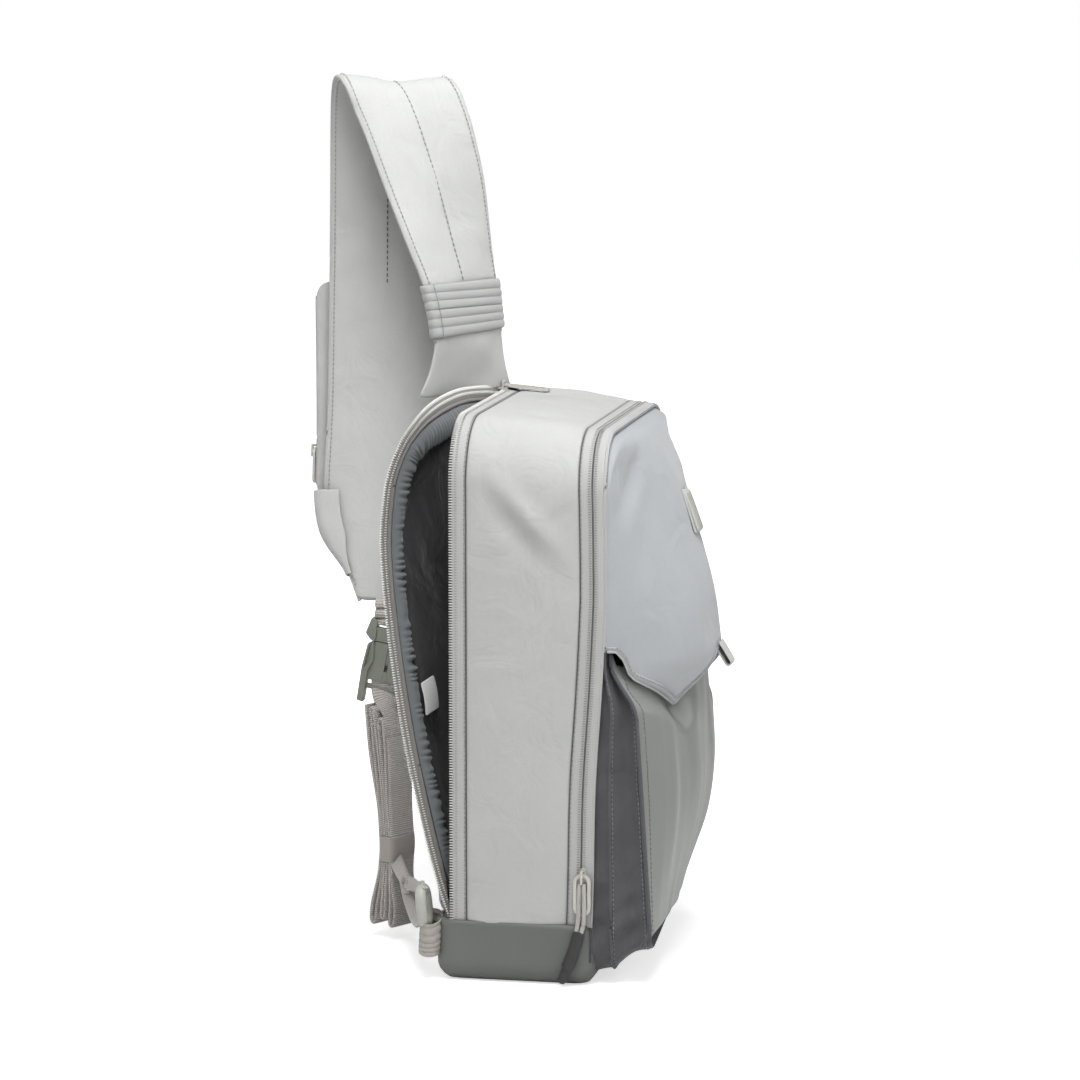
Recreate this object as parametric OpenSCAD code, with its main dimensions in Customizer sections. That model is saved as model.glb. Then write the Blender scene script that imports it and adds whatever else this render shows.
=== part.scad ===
// Sling bag: one-strap day bag with a laptop compartment, a flapped front pocket and a folded webbing tail.
// Frame: millimetres, +Z up, the front (flap) faces -Y, origin at the middle of the base's resting face.

/* [Body] */
// Width of the bag across its front
body_w = 260; // [240:1:280]
// Height of the front edge of the top panel
front_h = 412; // [400:1:424]
// Height of the back edge of the top panel
back_h = 422; // [412:1:434]
// Radius of the two upper corners, seen from the front
corner_r = 46; // [36:1:56]
// Thickness of a fabric wall with its padding
wall = 3; // [2.5:0.1:4]
// Height of the coated base panel
base_h = 45; // [38:1:52]

/* [Laptop compartment] */
// Angle that the laptop door stands open at rest
door_open = 16; // [8:1:20]
// Place of the door's zip slider along the top edge
laptop_slider_x = 68; // [60:1:72]

/* [Front pocket and flap] */
// Height of the pocket's mouth
pocket_h = 240; // [225:1:250]
// How far the middle of the flap stands out from the front panel
flap_bulge = 62; // [56:1:66]
// Thickness of the flap's fabric
flap_t = 2.4; // [2:0.1:3]

/* [Strap] */
// Thickness of the padded strap
strap_t = 9; // [7:0.5:11]
// Width of the webbing
webbing_w = 30; // [25:1:32]
// Thickness of the webbing
webbing_t = 2; // [1.6:0.1:2.2]
// Number of folds in the webbing bundle
folds = 7; // [5:2:7]
// Height of the ribbed sleeve on the strap
sleeve_h = 40; // [30:1:42]

/* [Buckle] */
// Width of the side-release buckle
buckle_w = 40; // [38:1:44]
// Thickness of the buckle
buckle_t = 11; // [10:0.5:12]

/* [Hidden] */

gap = 0.25;
half_w = body_w / 2;
light = [0.80, 0.81, 0.80];
light_tape = [0.78, 0.78, 0.76];
coated = [0.42, 0.44, 0.42];
pocket_grey = [0.36, 0.36, 0.38];
lining_grey = [0.23, 0.24, 0.25];
plastic = [0.45, 0.47, 0.42];
pale_metal = [0.80, 0.79, 0.74];
webbing_grey = [0.66, 0.65, 0.63];
foam_white = [0.92, 0.92, 0.90];

// ---------- Side profile: where the front edge and the laptop zip run, as functions of height ----------
lean_z = 290;          // the front leans out in a straight line up to here, so the zip's slider runs straight
front_low_y = -50;
front_high_y = -60;
front_y = function (z) z > lean_z ? front_high_y + 3 * pow((z - lean_z) / (back_h - lean_z), 2)
    : lerp(front_low_y, front_high_y, max(0, z - base_h) / (lean_z - base_h));
laptop_y = 57;          // plane of the laptop zip
top_z = function (y) front_h + (back_h - front_h) * (y + 57) / 110;
panel_depth = 16;     // laptop zip plane to the back panel's outer face
base_back_y = 66;

function steps(a, b, n) = [for (i = [0 : n]) a + (b - a) * i / n];
function arc(c, r, a0, a1, n) = [for (a = steps(a0, a1, n)) c + r * [cos(a), sin(a)]];
function lerp(a, b, t) = a + (b - a) * t;
function unit(v) = v / norm(v);
function smooth(t) = let (u = max(0, min(1, t))) u * u * (3 - 2 * u);

// Outline of the bag seen from the front, drawn as X and Z.
module outline(inset, z0 = base_h + gap, h = back_h) {
    r = corner_r - inset;
    w = half_w - inset;
    polygon(concat([[-w, z0]], [[w, z0]],
        arc([w - r, h - inset - r], r, 0, 90, 9), arc([-w + r, h - inset - r], r, 90, 180, 9)));
}

module along_y(y0, y1) {
    translate([0, y1, 0]) rotate([90, 0, 0]) linear_extrude(y1 - y0) children();
}

// Slab of space between two curves of height, open along X.
module band(low, high, z0 = -10, z1 = 470) {
    zs = steps(z0, z1, 16);
    rotate([90, 0, 90]) linear_extrude(2 * body_w, center = true)
        polygon(concat([for (z = zs) [low(z), z]], [for (i = [16 : -1 : 0]) [high(zs[i]), zs[i]]]));
}

// Everything under the sloping top panel, less an inset.
module under_top(inset) {
    rotate([90, 0, 90]) linear_extrude(2 * body_w, center = true)
        polygon([[-90, -10], [110, -10], [110, top_z(110) - inset], [-90, top_z(-90) - inset]]);
}

module body_solid(inset) {
    intersection() {
        along_y(-80, 100) outline(inset, z0 = base_h + gap);
        under_top(inset);
    }
}

module body_shell(outer, inner) {
    difference() {
        body_solid(outer);
        intersection() {
            along_y(-90, 110) outline(inner, z0 = 0);
            under_top(inner);
        }
    }
}

// ---------- Door hinge: a fold line from the strap anchor up to the laptop slider ----------
fold_low = [-half_w + 2, 76, 30];
fold_high = [laptop_slider_x + 10, 58, back_h - 1];
fold_dir = unit(fold_high - fold_low);
fold_gap = 10;
door_low = 86;          // the door's stiff part starts above the strap's anchor ring

// Turns the door outwards about the fold.
module about_fold(angle) {
    translate(fold_low) rotate(a = angle, v = -fold_dir) translate(-fold_low) children();
}

// Half-space on the door's side of the fold, or on the fixed side.
module fold_side(door) {
    reach = 700;
    away = unit([-fold_dir[2], fold_dir[0]]);
    a = [fold_low[0], fold_low[2]] - 200 * [fold_dir[0], fold_dir[2]] + (door ? 0.5 : -0.5) * fold_gap * away;
    b = a + reach * [fold_dir[0], fold_dir[2]];
    side = (door ? reach : -reach) * away;
    intersection() {
        along_y(-100, 150) polygon([a, b, b + side, a + side]);
        translate([-body_w, -100, door ? door_low : 0]) cube([2 * body_w, 250, back_h + 20]);
    }
}

// ---------- Body panels ----------
module gusset() color(light) intersection() {
    body_shell(0, wall);
    band(function (z) front_y(z) + 15.5, function (z) laptop_y - 12.5);
}

lip_h = 12;
module front_panel() color(light) intersection() {
    along_y(-80, 100) outline(0.5, z0 = lip_h + gap);
    under_top(0.5);
    band(function (z) front_y(z) - 2, function (z) front_y(z) + 0.3);
}

module base_profile(inset) {
    f = -50 + inset;
    b = base_back_y - inset;
    r = 12;
    rb = 18;
    polygon(concat([[f, base_h]], arc([f + r, r + inset], r, 180, 270, 5),
        arc([b - rb, rb + inset], rb, -90, 0, 6), [[b, base_h]]));
}

module base_front(inset) {
    w = half_w - inset;
    r = 14;
    polygon(concat([[-w, base_h]], arc([-w + r, r + inset], r, 180, 270, 5),
        arc([w - r, r + inset], r, -90, 0, 5), [[w, base_h]]));
}

module base_solid(inset) intersection() {
    rotate([90, 0, 90]) linear_extrude(2 * body_w, center = true) base_profile(inset);
    along_y(-90, 100) base_front(inset);
}

module base_panel() color(coated) difference() {
    base_solid(0);
    base_solid(wall);
    translate([-half_w + wall, -50 + wall, base_h - 1]) cube([body_w - 2 * wall, 110, 5]);
    translate([-body_w, -60, lip_h]) cube([2 * body_w, 10.8, base_h]);
}

module base_board() color([0.2, 0.2, 0.2])
    translate([-half_w + 22, -34, wall + gap]) cube([body_w - 44, 62, 2]);

divider_y = 30;
divider_low = 18;       // above the round corners inside the base

module laptop_divider() color(lining_grey) intersection() {
    along_y(divider_y, divider_y + 1.5) outline(wall + gap, z0 = divider_low);
    under_top(wall + gap);
}

module divider_pad() color(lining_grey) intersection() {
    along_y(divider_y + 1.5 + gap, divider_y + 6) outline(12, z0 = divider_low);
    under_top(14);
}

module hinge_gusset() color(light) intersection() {
    body_shell(0, wall);
    along_y(laptop_y - 12.3, laptop_y + 9) square(4 * body_w, center = true);
    fold_side(false);
}

module back_plate(inset, near, far) intersection() {
    along_y(laptop_y + near, laptop_y + far) outline(inset);
    under_top(inset);
}

module back_panel() color(light) intersection() {
    back_plate(0, 9 + gap, panel_depth);
    fold_side(false);
}

module back_foam() color(foam_white) intersection() {
    back_plate(8, 3, 9);
    fold_side(false);
}

module laptop_door() color(light) about_fold(door_open) intersection() {
    back_plate(0, 9 + gap, panel_depth);
    fold_side(true);
}

module door_foam() color(foam_white) about_fold(door_open) intersection() {
    back_plate(8, 3, 9);
    fold_side(true);
}

module door_lining() color(lining_grey) about_fold(door_open) intersection() {
    back_plate(7, 1.6, 2.8);
    fold_side(true);
}

// Blank label sewn to the door's lining near its free edge.
module care_label() color([0.95, 0.95, 0.95]) about_fold(door_open)
    translate([-half_w + 13, laptop_y + 0.7, 196]) cube([26, 0.6, 34]);

// ---------- Zips ----------
main_zip_mid = 7.5;     // middle of the main zip, behind the bag's front edge
row_gap = 0.6;          // half the gap between two rows of teeth
row_w = 1.8;
row_end = row_gap + row_w;
tape_start = row_end + 0.1;

// Strip of the bag's skin beside the main zip, between two distances from its middle.
module main_zip_strip(outer, inner, near, far) intersection() {
    body_shell(outer, inner);
    band(function (z) front_y(z) + main_zip_mid + near, function (z) front_y(z) + main_zip_mid + far);
}

module inner_zip_tape() color(light_tape) main_zip_strip(0.6, 1.8, tape_start, 7.8);
module inner_zip_coil() color(light_tape) main_zip_strip(0.2, 2.2, row_gap, row_end);
module outer_zip_tape() color(light_tape) main_zip_strip(0.6, 1.8, -7, -tape_start);
module outer_zip_coil() color(light_tape) main_zip_strip(0.2, 2.2, -row_end, -row_gap);

// The same beside the laptop zip, on the door's side of the fold.
module laptop_zip_strip(outer, inner, near, far) intersection() {
    body_shell(outer, inner);
    along_y(laptop_y + near, laptop_y + far) square(4 * body_w, center = true);
    fold_side(true);
}

module laptop_zip_tape() color(light_tape) laptop_zip_strip(0.6, 1.8, -12.3, -tape_start);
module laptop_zip_coil() color(light_tape) laptop_zip_strip(0.2, 2.2, -row_end, -row_gap);
module door_zip_tape() color(light_tape) about_fold(door_open) laptop_zip_strip(0.6, 1.8, tape_start, 9);
module door_zip_coil() color(light_tape) about_fold(door_open) laptop_zip_strip(0.2, 2.2, row_gap, row_end);

// Zip slider lying on its teeth: length along X, width along Y, the bag's surface at z = 0.
slider_l = 13;
slider_w = 9;
bail_rise = 6.4;
bail_r = 1;
bail_post = 4;
pull_low = 2.85;        // underside of a puller that lies under the bail
pull_t = 1.8;

module slider_plate(z, t) translate([-slider_l / 2, 0, z]) linear_extrude(t) hull() {
    for (y = [-1, 1]) translate([1.5, y * (slider_w / 2 - 1.5)]) circle(1.5, $fn = 24);
    translate([slider_l - 2.5, 0]) circle(2.5, $fn = 24);
}

module slider_bail() {
    for (x = [-bail_post, bail_post]) translate([x, 0, 1.6])
        cylinder(r = bail_r, h = bail_rise - 1.6, $fn = 24);
    translate([-bail_post - bail_r, 0, bail_rise]) rotate([0, 90, 0])
        cylinder(r = bail_r, h = 2 * (bail_post + bail_r), $fn = 24);
}

// Whole slider: plates over and under the teeth, joined by a thin post between the two rows.
module slider_body() {
    slider_plate(0.5, 1.6);
    slider_plate(-4.4, 1.2);
    translate([1.7, -0.3, -3.4]) cube([3, 0.6, 4.4]);
    slider_bail();
}

main_slider_z = 84;
main_zip_y = function (z) front_y(z) + main_zip_mid;
lean = atan2(main_zip_y(main_slider_z) - main_zip_y(main_slider_z + 10), 10);

// Places a part drawn on a zip at the near side wall, with its X axis running up the zip.
module on_near_side() {
    translate([-half_w, main_zip_y(main_slider_z), main_slider_z])
        rotate([lean, 0, 0]) rotate([0, -90, 0]) children();
}

module main_slider() color(pale_metal) on_near_side() slider_body();

// The puller hangs from the bail's lower post: an oval ring, a doubled cord and a moulded tip.
ring_w = 13;
ring_l = 32;
ring_bar = 2.4;
ring_top_z = main_slider_z + ring_bar;
pull_x = -half_w - pull_low;
pull_y = main_zip_y(main_slider_z);

module ring_outline(l, w, r) hull() for (x = [w / 2 - l, -w / 2]) translate([x, 0]) circle(r, $fn = 32);

// Oval ring that hangs from its top end, lying in the plane z = 0 with its length along -X.
module ring(l, w) linear_extrude(pull_t) difference() {
    ring_outline(l, w, w / 2);
    ring_outline(l, w, w / 2 - ring_bar);
}

module main_pull_ring() color(pale_metal)
    translate([pull_x, pull_y, ring_top_z]) rotate([0, -90, 0]) ring(ring_l, ring_w);

cord_r = 1.1;
cord_bend = 2.1;
cord_drop = 20;
cord_top = ring_top_z - ring_l + ring_bar + cord_r + 0.2 - cord_bend + 1.2;
cord_x = pull_x - pull_t / 2;

// Doubled cord looped over the ring's lower bar.
module main_pull_cord() color([0.78, 0.77, 0.74]) {
    for (s = [-1, 1]) translate([cord_x + s * cord_bend, pull_y, cord_top - cord_drop])
        cylinder(r = cord_r, h = cord_drop, $fn = 24);
    translate([cord_x, pull_y, cord_top]) rotate([90, 0, 0]) rotate_extrude(angle = 180, $fn = 48)
        translate([cord_bend, 0]) circle(cord_r, $fn = 24);
}

tip_l = 22;
module main_pull_tip() color([0.25, 0.25, 0.27]) translate([cord_x, pull_y, cord_top - cord_drop - gap - tip_l])
    linear_extrude(tip_l) hull() for (s = [-1, 1]) translate([0, s * 1.6]) circle(2.6, $fn = 24);

laptop_zip_z = top_z(laptop_y);

top_slope = atan2(back_h - front_h, 110);
module on_top() translate([laptop_slider_x, laptop_y, laptop_zip_z]) rotate([top_slope, 0, 0]) children();

module laptop_slider() color(pale_metal) on_top() slider_body();

// Flat puller whose neck passes under the slider's bail, lying forward along the top panel.
laptop_pull_l = 34;
module laptop_pull() color(pale_metal) on_top() translate([0, 0, pull_low]) difference() {
    union() {
        translate([-2.5, -7, 0]) cube([5, 9.2, pull_t]);
        linear_extrude(pull_t) hull() for (x = [-3, 3], y = [-laptop_pull_l, -6])
            translate([x, y]) circle(2, $fn = 24);
    }
    translate([-2.4, -laptop_pull_l + 2, -1]) cube([4.8, 12, 4]);
}

// ---------- Front pocket and flap: sheets given as Y over X and Z ----------
// Closed solid from two grids of points, the front face and the face behind it.
module sheet(front, back) {
    n = len(front);
    m = len(front[0]);
    at = function (side, i, j) side * n * m + i * m + j;
    quads = [
        for (i = [0 : n - 2], j = [0 : m - 2]) each [
            [at(0, i, j), at(0, i + 1, j), at(0, i + 1, j + 1), at(0, i, j + 1)],
            [at(1, i, j), at(1, i, j + 1), at(1, i + 1, j + 1), at(1, i + 1, j)]],
        for (i = [0 : n - 2]) each [
            [at(0, i, 0), at(1, i, 0), at(1, i + 1, 0), at(0, i + 1, 0)],
            [at(0, i, m - 1), at(0, i + 1, m - 1), at(1, i + 1, m - 1), at(1, i, m - 1)]],
        for (j = [0 : m - 2]) each [
            [at(0, 0, j), at(0, 0, j + 1), at(1, 0, j + 1), at(1, 0, j)],
            [at(0, n - 1, j), at(1, n - 1, j), at(1, n - 1, j + 1), at(0, n - 1, j + 1)]]];
    triangles = [for (q = quads) each [[q[2], q[1], q[0]], [q[3], q[2], q[0]]]];
    polyhedron(concat([for (r = front) each r], [for (r = back) each r]), triangles);
}

hood_top = front_h - 6;
tip_x = 66;
seam_z = 254;           // height at which the hood ends and the free flap starts
flap_tip_z = 200;
flap_notch_z = 234;
flap_half_w = 112;

// Lower edge of the flap: from the seam down to two points, and up to a notch in the middle.
flap_low = function (x) let (a = abs(x))
    a > tip_x ? lerp(flap_tip_z, seam_z - 4, pow((a - tip_x) / (flap_half_w - tip_x), 1.25))
    : lerp(flap_notch_z, flap_tip_z, a / tip_x);
across = function (x) pow(max(0, 1 - pow(abs(x) / (half_w + 1), 2.2)), 0.6);
flap_rise = function (z) let (t = max(0, z - 225) / (front_h + 3 - 225)) pow(max(0, 1 - t * t), 0.8);
flap_y = function (x, z) front_y(z) - 2.6 - flap_bulge * flap_rise(z) * across(x);

// Sheet that follows the hood's dome between two edges given as heights over X.
module dome_sheet(xs, low, high, near, far, rows) sheet(
    [for (x = xs) [for (t = steps(0, 1, rows)) let (z = lerp(low(x), high(x), t)) [x, flap_y(x, z) + near, z]]],
    [for (x = xs) [for (t = steps(0, 1, rows)) let (z = lerp(low(x), high(x), t)) [x, flap_y(x, z) + far, z]]]);

hood_xs = [for (t = steps(-1, 1, 26)) (half_w - 1) * sin(t * 90)];
flap_xs = steps(-flap_half_w, flap_half_w, 22);

module front_hood() color(light)
    dome_sheet(hood_xs, function (x) seam_z + 0.6, function (x) hood_top, -flap_t, 0, 12);

module flap() color(light) dome_sheet(flap_xs, flap_low, function (x) seam_z - 0.6, -flap_t, 0, 5);

// Binding sewn along the flap's lower edge, standing just outside it.
module flap_binding() color([0.82, 0.83, 0.82])
    dome_sheet(flap_xs, flap_low, function (x) min(seam_z - 0.6, flap_low(x) + 5),
        -flap_t - 1.1, -flap_t - 0.2, 1);

// Places a flat round or square part on the flap, facing out along the flap's slope.
module on_flap(x, z, lift) {
    slope = atan2(flap_y(x, z + 4) - flap_y(x, z - 4), 8);
    translate([x, flap_y(x, z) - flap_t, z]) rotate([90 - slope, 0, 0]) translate([0, 0, lift]) children();
}

module name_plate() color(pale_metal) on_flap(0, 340, 0.6)
    linear_extrude(2.4) hull() for (x = [-12, 12], y = [-11, 11]) translate([x, y]) circle(2, $fn = 24);

module pull_tab() color(light) on_flap(0, 236, 1.4)
    linear_extrude(3) hull() for (x = [-8, 8], y = [-14, 6]) translate([x, y]) circle(2, $fn = 24);

magnet_z = 228;
pocket_w = half_w - 8;
pocket_low = 34;
edge_y = function (z) lerp(-94, -81, (z - pocket_low) / (pocket_h - pocket_low));
pocket_bulge = 31;
pocket_y = function (x, z) let (rise = smooth((z - pocket_low + 6) / 150))
    edge_y(z) - pocket_bulge * rise * pow(max(0, 1 - pow(abs(x) / pocket_w, 2.4)), 0.8);

module pocket_sheet(z0, z1, near, far, n = 12) sheet(
    [for (x = steps(-pocket_w, pocket_w, 24)) [for (z = steps(z0, z1, n)) [x, pocket_y(x, z) + near, z]]],
    [for (x = steps(-pocket_w, pocket_w, 24)) [for (z = steps(z0, z1, n)) [x, pocket_y(x, z) + far, z]]]);

module pocket_front() color(coated) pocket_sheet(pocket_low, pocket_h - 6 - gap, 0, 2);

module pocket_hem() color(pocket_grey) pocket_sheet(pocket_h - 6, pocket_h, -0.2, 2.4, 1);

module pocket_magnet() color(pale_metal)
    translate([0, pocket_y(0, magnet_z) + 2.9, magnet_z]) rotate([-90, 0, 0])
        cylinder(r = 8, h = 2.4, $fn = 48);

module flap_magnet() color(pale_metal)
    on_flap(0, flap_notch_z + 8, -flap_t - 2.6) cylinder(r = 7, h = 2.2, $fn = 48);

// Folded side and bottom wall of the pocket: one accordion section carried down, across and up.
gusset_path = concat([[-1, pocket_h - 2, 0], [-1, 150, 0], [-1, 60, 0]],
    [for (a = steps(0, 90, 4)) [-1, 34 - 21 * sin(a), a]],
    [for (a = steps(90, 0, 4)) [1, 34 - 21 * sin(a), a]],
    [[1, 60, 0], [1, 150, 0], [1, pocket_h - 2, 0]]);

// Points of the accordion at one station, from the body out to the pocket front.
function fold_section(s, t) =
    let (side = s[0], a = s[2], x = side * (half_w - 2 - 22 * (1 - cos(a))), z = s[1],
        e = edge_y(max(pocket_low, z)) + 2.4,
        f = front_y(z) - 2.6,
        run = e - f,
        inward = [-side * cos(a), sin(a)],
        p = function (d, y) [x + inward[0] * (d + t), y, z + inward[1] * (d + t)])
    [p(0, f), p(3, f + run * 0.42), p(14, f + run * 0.62), p(7.5, e)];

module pocket_gusset() color(pocket_grey) sheet(
    [for (s = gusset_path) fold_section(s, 0)], [for (s = gusset_path) fold_section(s, 1.4)]);

// ---------- Strap: a padded band swept along a twisted path ----------
// Each key is [centre, direction across the strap, width]; the path runs from the yoke over the crest and down.
strap_keys = [
    [[14, 83, 427], [0.957, -0.29, 0], 78],
    [[23, 79, 458], [0.92, -0.39, 0], 80],
    [[28, 79, 510], [0.85, -0.53, 0], 84],
    [[26, 95, 575], [0.70, -0.70, 0.12], 86],
    [[27, 116, 632], [0.42, -0.89, 0.10], 90],
    [[38, 131, 656], [0.2, -0.98, 0], 90],
    [[56, 140, 634], [0.15, -0.985, 0], 90],
    [[64, 145, 575], [0.15, -0.985, 0], 90],
    [[60, 147, 500], [0.12, -0.99, 0], 90],
    [[46, 147, 410], [0.08, -0.997, 0], 94],
    [[26, 145, 330], [0.04, -1, 0], 90],
    [[8, 139, 288], [0, -1, 0], 56],
    [[-1, 135, 268], [0, -1, 0], 36]];

function key(i) = strap_keys[max(0, min(len(strap_keys) - 1, i))];
function spline(a, b, c, d, t) = 0.5 * ((2 * b) + (c - a) * t + (2 * a - 5 * b + 4 * c - d) * t * t
    + (3 * b - a - 3 * c + d) * t * t * t);
function path_part(u, k) = let (i = min(floor(u), len(strap_keys) - 2), t = u - i)
    spline(key(i - 1)[k], key(i)[k], key(i + 1)[k], key(i + 2)[k], t);
function path_point(u) = path_part(u, 0);
function path_across(u) = unit(path_part(u, 1));
function path_ahead(u) = unit(path_point(min(u + 0.02, len(strap_keys) - 1)) - path_point(max(u - 0.02, 0)));
function path_out(u) = unit(cross(path_across(u), path_ahead(u)));

// Rounded section: points as [share of half width, share of half thickness].
section = [[-1, 0], [-0.985, 0.55], [-0.93, 0.9], [-0.6, 1], [0, 1], [0.6, 1], [0.93, 0.9], [0.985, 0.55],
    [1, 0], [0.985, -0.55], [0.93, -0.9], [0.6, -1], [0, -1], [-0.6, -1], [-0.93, -0.9], [-0.985, -0.55]];

function strap_ring(u, t, narrow, lift) = let (c = path_point(u), w = path_across(u), o = path_out(u),
        h = path_part(u, 2) / 2 - narrow)
    [for (s = section) c + w * h * s[0] + o * (lift + t / 2 * s[1])];

// Faces that join ring after ring of m points; flip turns them inside out.
function skin(n, m, first, flip) = [for (i = [0 : n - 1], j = [0 : m - 1])
    let (a = first + i * m + j, b = first + i * m + (j + 1) % m)
        each flip ? [[a, b + m, b], [a, a + m, b + m]] : [[a, b, b + m], [a, b + m, a + m]]];

// Solid length of strap between two places on the path.
module strap_run(u0, u1, n, t, narrow = 0) {
    m = len(section);
    rings = [for (u = steps(u0, u1, n)) strap_ring(u, t, narrow, 0)];
    caps = [[for (j = [m - 1 : -1 : 0]) j], [for (j = [0 : m - 1]) n * m + j]];
    polyhedron([for (r = rings) each r], concat(skin(n, m, 0, false), caps));
}

// Hollow length of strap: cloth between an outer and an inner thickness, open at both ends.
module strap_tube(u0, u1, n, outer, inner, cloth, widen = 0, ribs = 0) {
    m = len(section);
    us = steps(u0, u1, n);
    out = [for (i = [0 : n]) strap_ring(us[i], outer + ribs * (i % 2), -widen - ribs / 2 * (i % 2), 0)];
    into = [for (u = us) strap_ring(u, inner, cloth, 0)];
    far = (n + 1) * m;
    rims = [for (j = [0 : m - 1]) let (k = (j + 1) % m, e = n * m)
        each [[j, far + j, far + k], [j, far + k, k],
            [e + j, e + k, far + e + k], [e + j, far + e + k, far + e + j]]];
    polyhedron(concat([for (r = out) each r], [for (r = into) each r]),
        concat(skin(n, m, 0, false), skin(n, m, far, true), rims));
}

yoke_end = 0.95;
strap_start = 1.25;
strap_end = 11.95;
cloth = 1.5;

module strap_yoke() color(light) strap_tube(0, yoke_end, 8, strap_t, strap_t - 2 * cloth, cloth);
module yoke_foam() color(foam_white)
    strap_run(0.08, yoke_end - 0.08, 8, strap_t - 2 * cloth - 0.6, cloth + 0.6);
module strap_cover() color(light) strap_tube(strap_start, strap_end, 60, strap_t, strap_t - 2 * cloth, cloth);
module strap_foam() color(foam_white)
    strap_run(strap_start + 0.08, strap_end - 0.3, 56, strap_t - 2 * cloth - 0.8, cloth + 1);

// Ribbed elastic sleeve round the strap just above the yoke.
sleeve_ribs = 6;
module strap_sleeve() color(light_tape)
    strap_tube(1.3, 1.3 + sleeve_h / 52, 2 * sleeve_ribs, strap_t + 3.6, strap_t + 1.2, -0.8, 2, 1.6);

// Phone pocket on the strap's outer face, with its zip down the outer edge.
module pouch(grow) hull() for (z = [346, 492], y = [110, 186]) translate([0, y, z]) rotate([0, 90, 0])
    cylinder(r = 14 + grow, h = 14, $fn = 32);

pouch_lean = 9;
pouch_edge = 186 + 14;
pouch_slider_z = 372;
pouch_x = 65.5;         // its inner face at mid height
module on_pouch() translate([pouch_x, 0, 460]) rotate([0, pouch_lean, 0]) translate([0, 0, -460]) children();

module strap_pocket() color(light) on_pouch() pouch(0);

zip_t = 1.6;
module pocket_zip_coil() color(light_tape) on_pouch()
    translate([4.5, pouch_edge + gap, 356]) cube([5, zip_t, 128]);

module pocket_slider() color(pale_metal) on_pouch() translate([7, pouch_edge + gap + zip_t, pouch_slider_z])
    rotate([-90, 0, 0]) rotate([0, 0, -90]) {
        slider_plate(0.4, 1.7);
        slider_bail();
    }

module pocket_pull() color(pale_metal) on_pouch()
    translate([7, pouch_edge + gap + zip_t + pull_low, pouch_slider_z + ring_bar])
        rotate([-90, 0, 0]) rotate([0, 0, -90]) ring(28, 11);

// ---------- Buckle, webbing bundle and anchor ----------
buckle_at = [-1, 139.5, 225];
buckle_tilt = 6;
module on_buckle() translate(buckle_at) rotate([buckle_tilt, 0, 0]) children();

module upper_webbing() color(webbing_grey) on_buckle()
    translate([-webbing_t / 2, -webbing_w / 2, 30]) cube([webbing_t, webbing_w, 11]);

module slab(t, w0, z0, w1, z1) rotate([90, 0, 90]) linear_extrude(t, center = true)
    polygon([[-w0 / 2, z0], [w0 / 2, z0], [w1 / 2, z1], [-w1 / 2, z1]]);

// Plug half: webbing bar on top and a centre guide.
module buckle_plug() color(plastic) on_buckle() {
    difference() {
        slab(buckle_t, buckle_w - 6, 12, buckle_w, 29.5);
        slab(buckle_t + 2, webbing_w + 1, 21, webbing_w + 1, 25);
        slab(buckle_t + 2, webbing_w + 1, 16, webbing_w + 1, 18.5);
    }
    slab(3, 6, -13, 6, 12);
}

// Two sprung arms that click into the socket's side windows.
module buckle_arms() color(plastic) on_buckle() for (s = [-1, 1]) {
    translate([0, s * 12.5, 0]) slab(4, 4, -14, 4, 12 - gap);
    translate([0, s * 16.6, 0]) slab(5, 4, -10, 4, 4);
}

module buckle_socket() color(plastic) on_buckle() difference() {
    slab(buckle_t, buckle_w - 2, socket_low, buckle_w - 2, 11.5);
    slab(6.2, 31, -16, 31, 12);
    slab(6.2, buckle_w + 2, -12, buckle_w + 2, 6);
    slab(buckle_t + 2, webbing_w + 1, -35, webbing_w + 1, -31);
    slab(buckle_t + 2, webbing_w + 1, -25, webbing_w + 1, -22);
}

bundle_at = [-4, 133, 0];
bundle_turn = -19;
bundle_top = 166;
bundle_low = 16;
socket_low = -39;       // lower end of the buckle's socket, in the buckle's own frame
fold_pitch = webbing_t + 1.4;
module on_bundle() translate(bundle_at) rotate([0, 0, bundle_turn]) children();

// Zigzag of webbing: straight layers joined by half rings, seen along the webbing's width.
module zigzag() {
    r = fold_pitch / 2;
    for (i = [0 : folds - 1]) translate([(i - (folds - 1) / 2) * fold_pitch - webbing_t / 2, bundle_low + 3])
        square([webbing_t, bundle_top - bundle_low - 6]);
    for (i = [0 : folds - 2])
        translate([(i - (folds - 2) / 2) * fold_pitch, i % 2 == 0 ? bundle_low + 3.5 : bundle_top - 3.5])
        intersection() {
            difference() {
                circle(r + webbing_t / 2, $fn = 32);
                circle(r - webbing_t / 2, $fn = 32);
            }
            translate([-9, i % 2 == 0 ? -9 : 0]) square([18, 9]);
        }
}

module webbing_bundle() color(webbing_grey) on_bundle()
    rotate([90, 0, 90]) linear_extrude(webbing_w, center = true) zigzag();

// Twisted length of webbing from the bundle up to the buckle's socket.
module webbing_lead() color(webbing_grey) hull() {
    on_bundle() translate([0, 0, bundle_top + 0.6]) cube([webbing_w, webbing_t, 1], center = true);
    on_buckle() translate([0, 0, socket_low - 0.8]) cube([webbing_t, webbing_w, 1], center = true);
}

bundle_d = (folds - 1) * fold_pitch + webbing_t;
keeper_z = 62;
module webbing_keeper() color([0.70, 0.68, 0.66]) on_bundle() translate([0, 0, keeper_z]) linear_extrude(20)
    difference() {
        square([webbing_w + 5, bundle_d + 5], center = true);
        square([webbing_w + 1, bundle_d + 1], center = true);
    }

anchor_at = [-half_w + 4, 79, 0];
ring_low = 43;
ring_top = 75;

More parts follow.
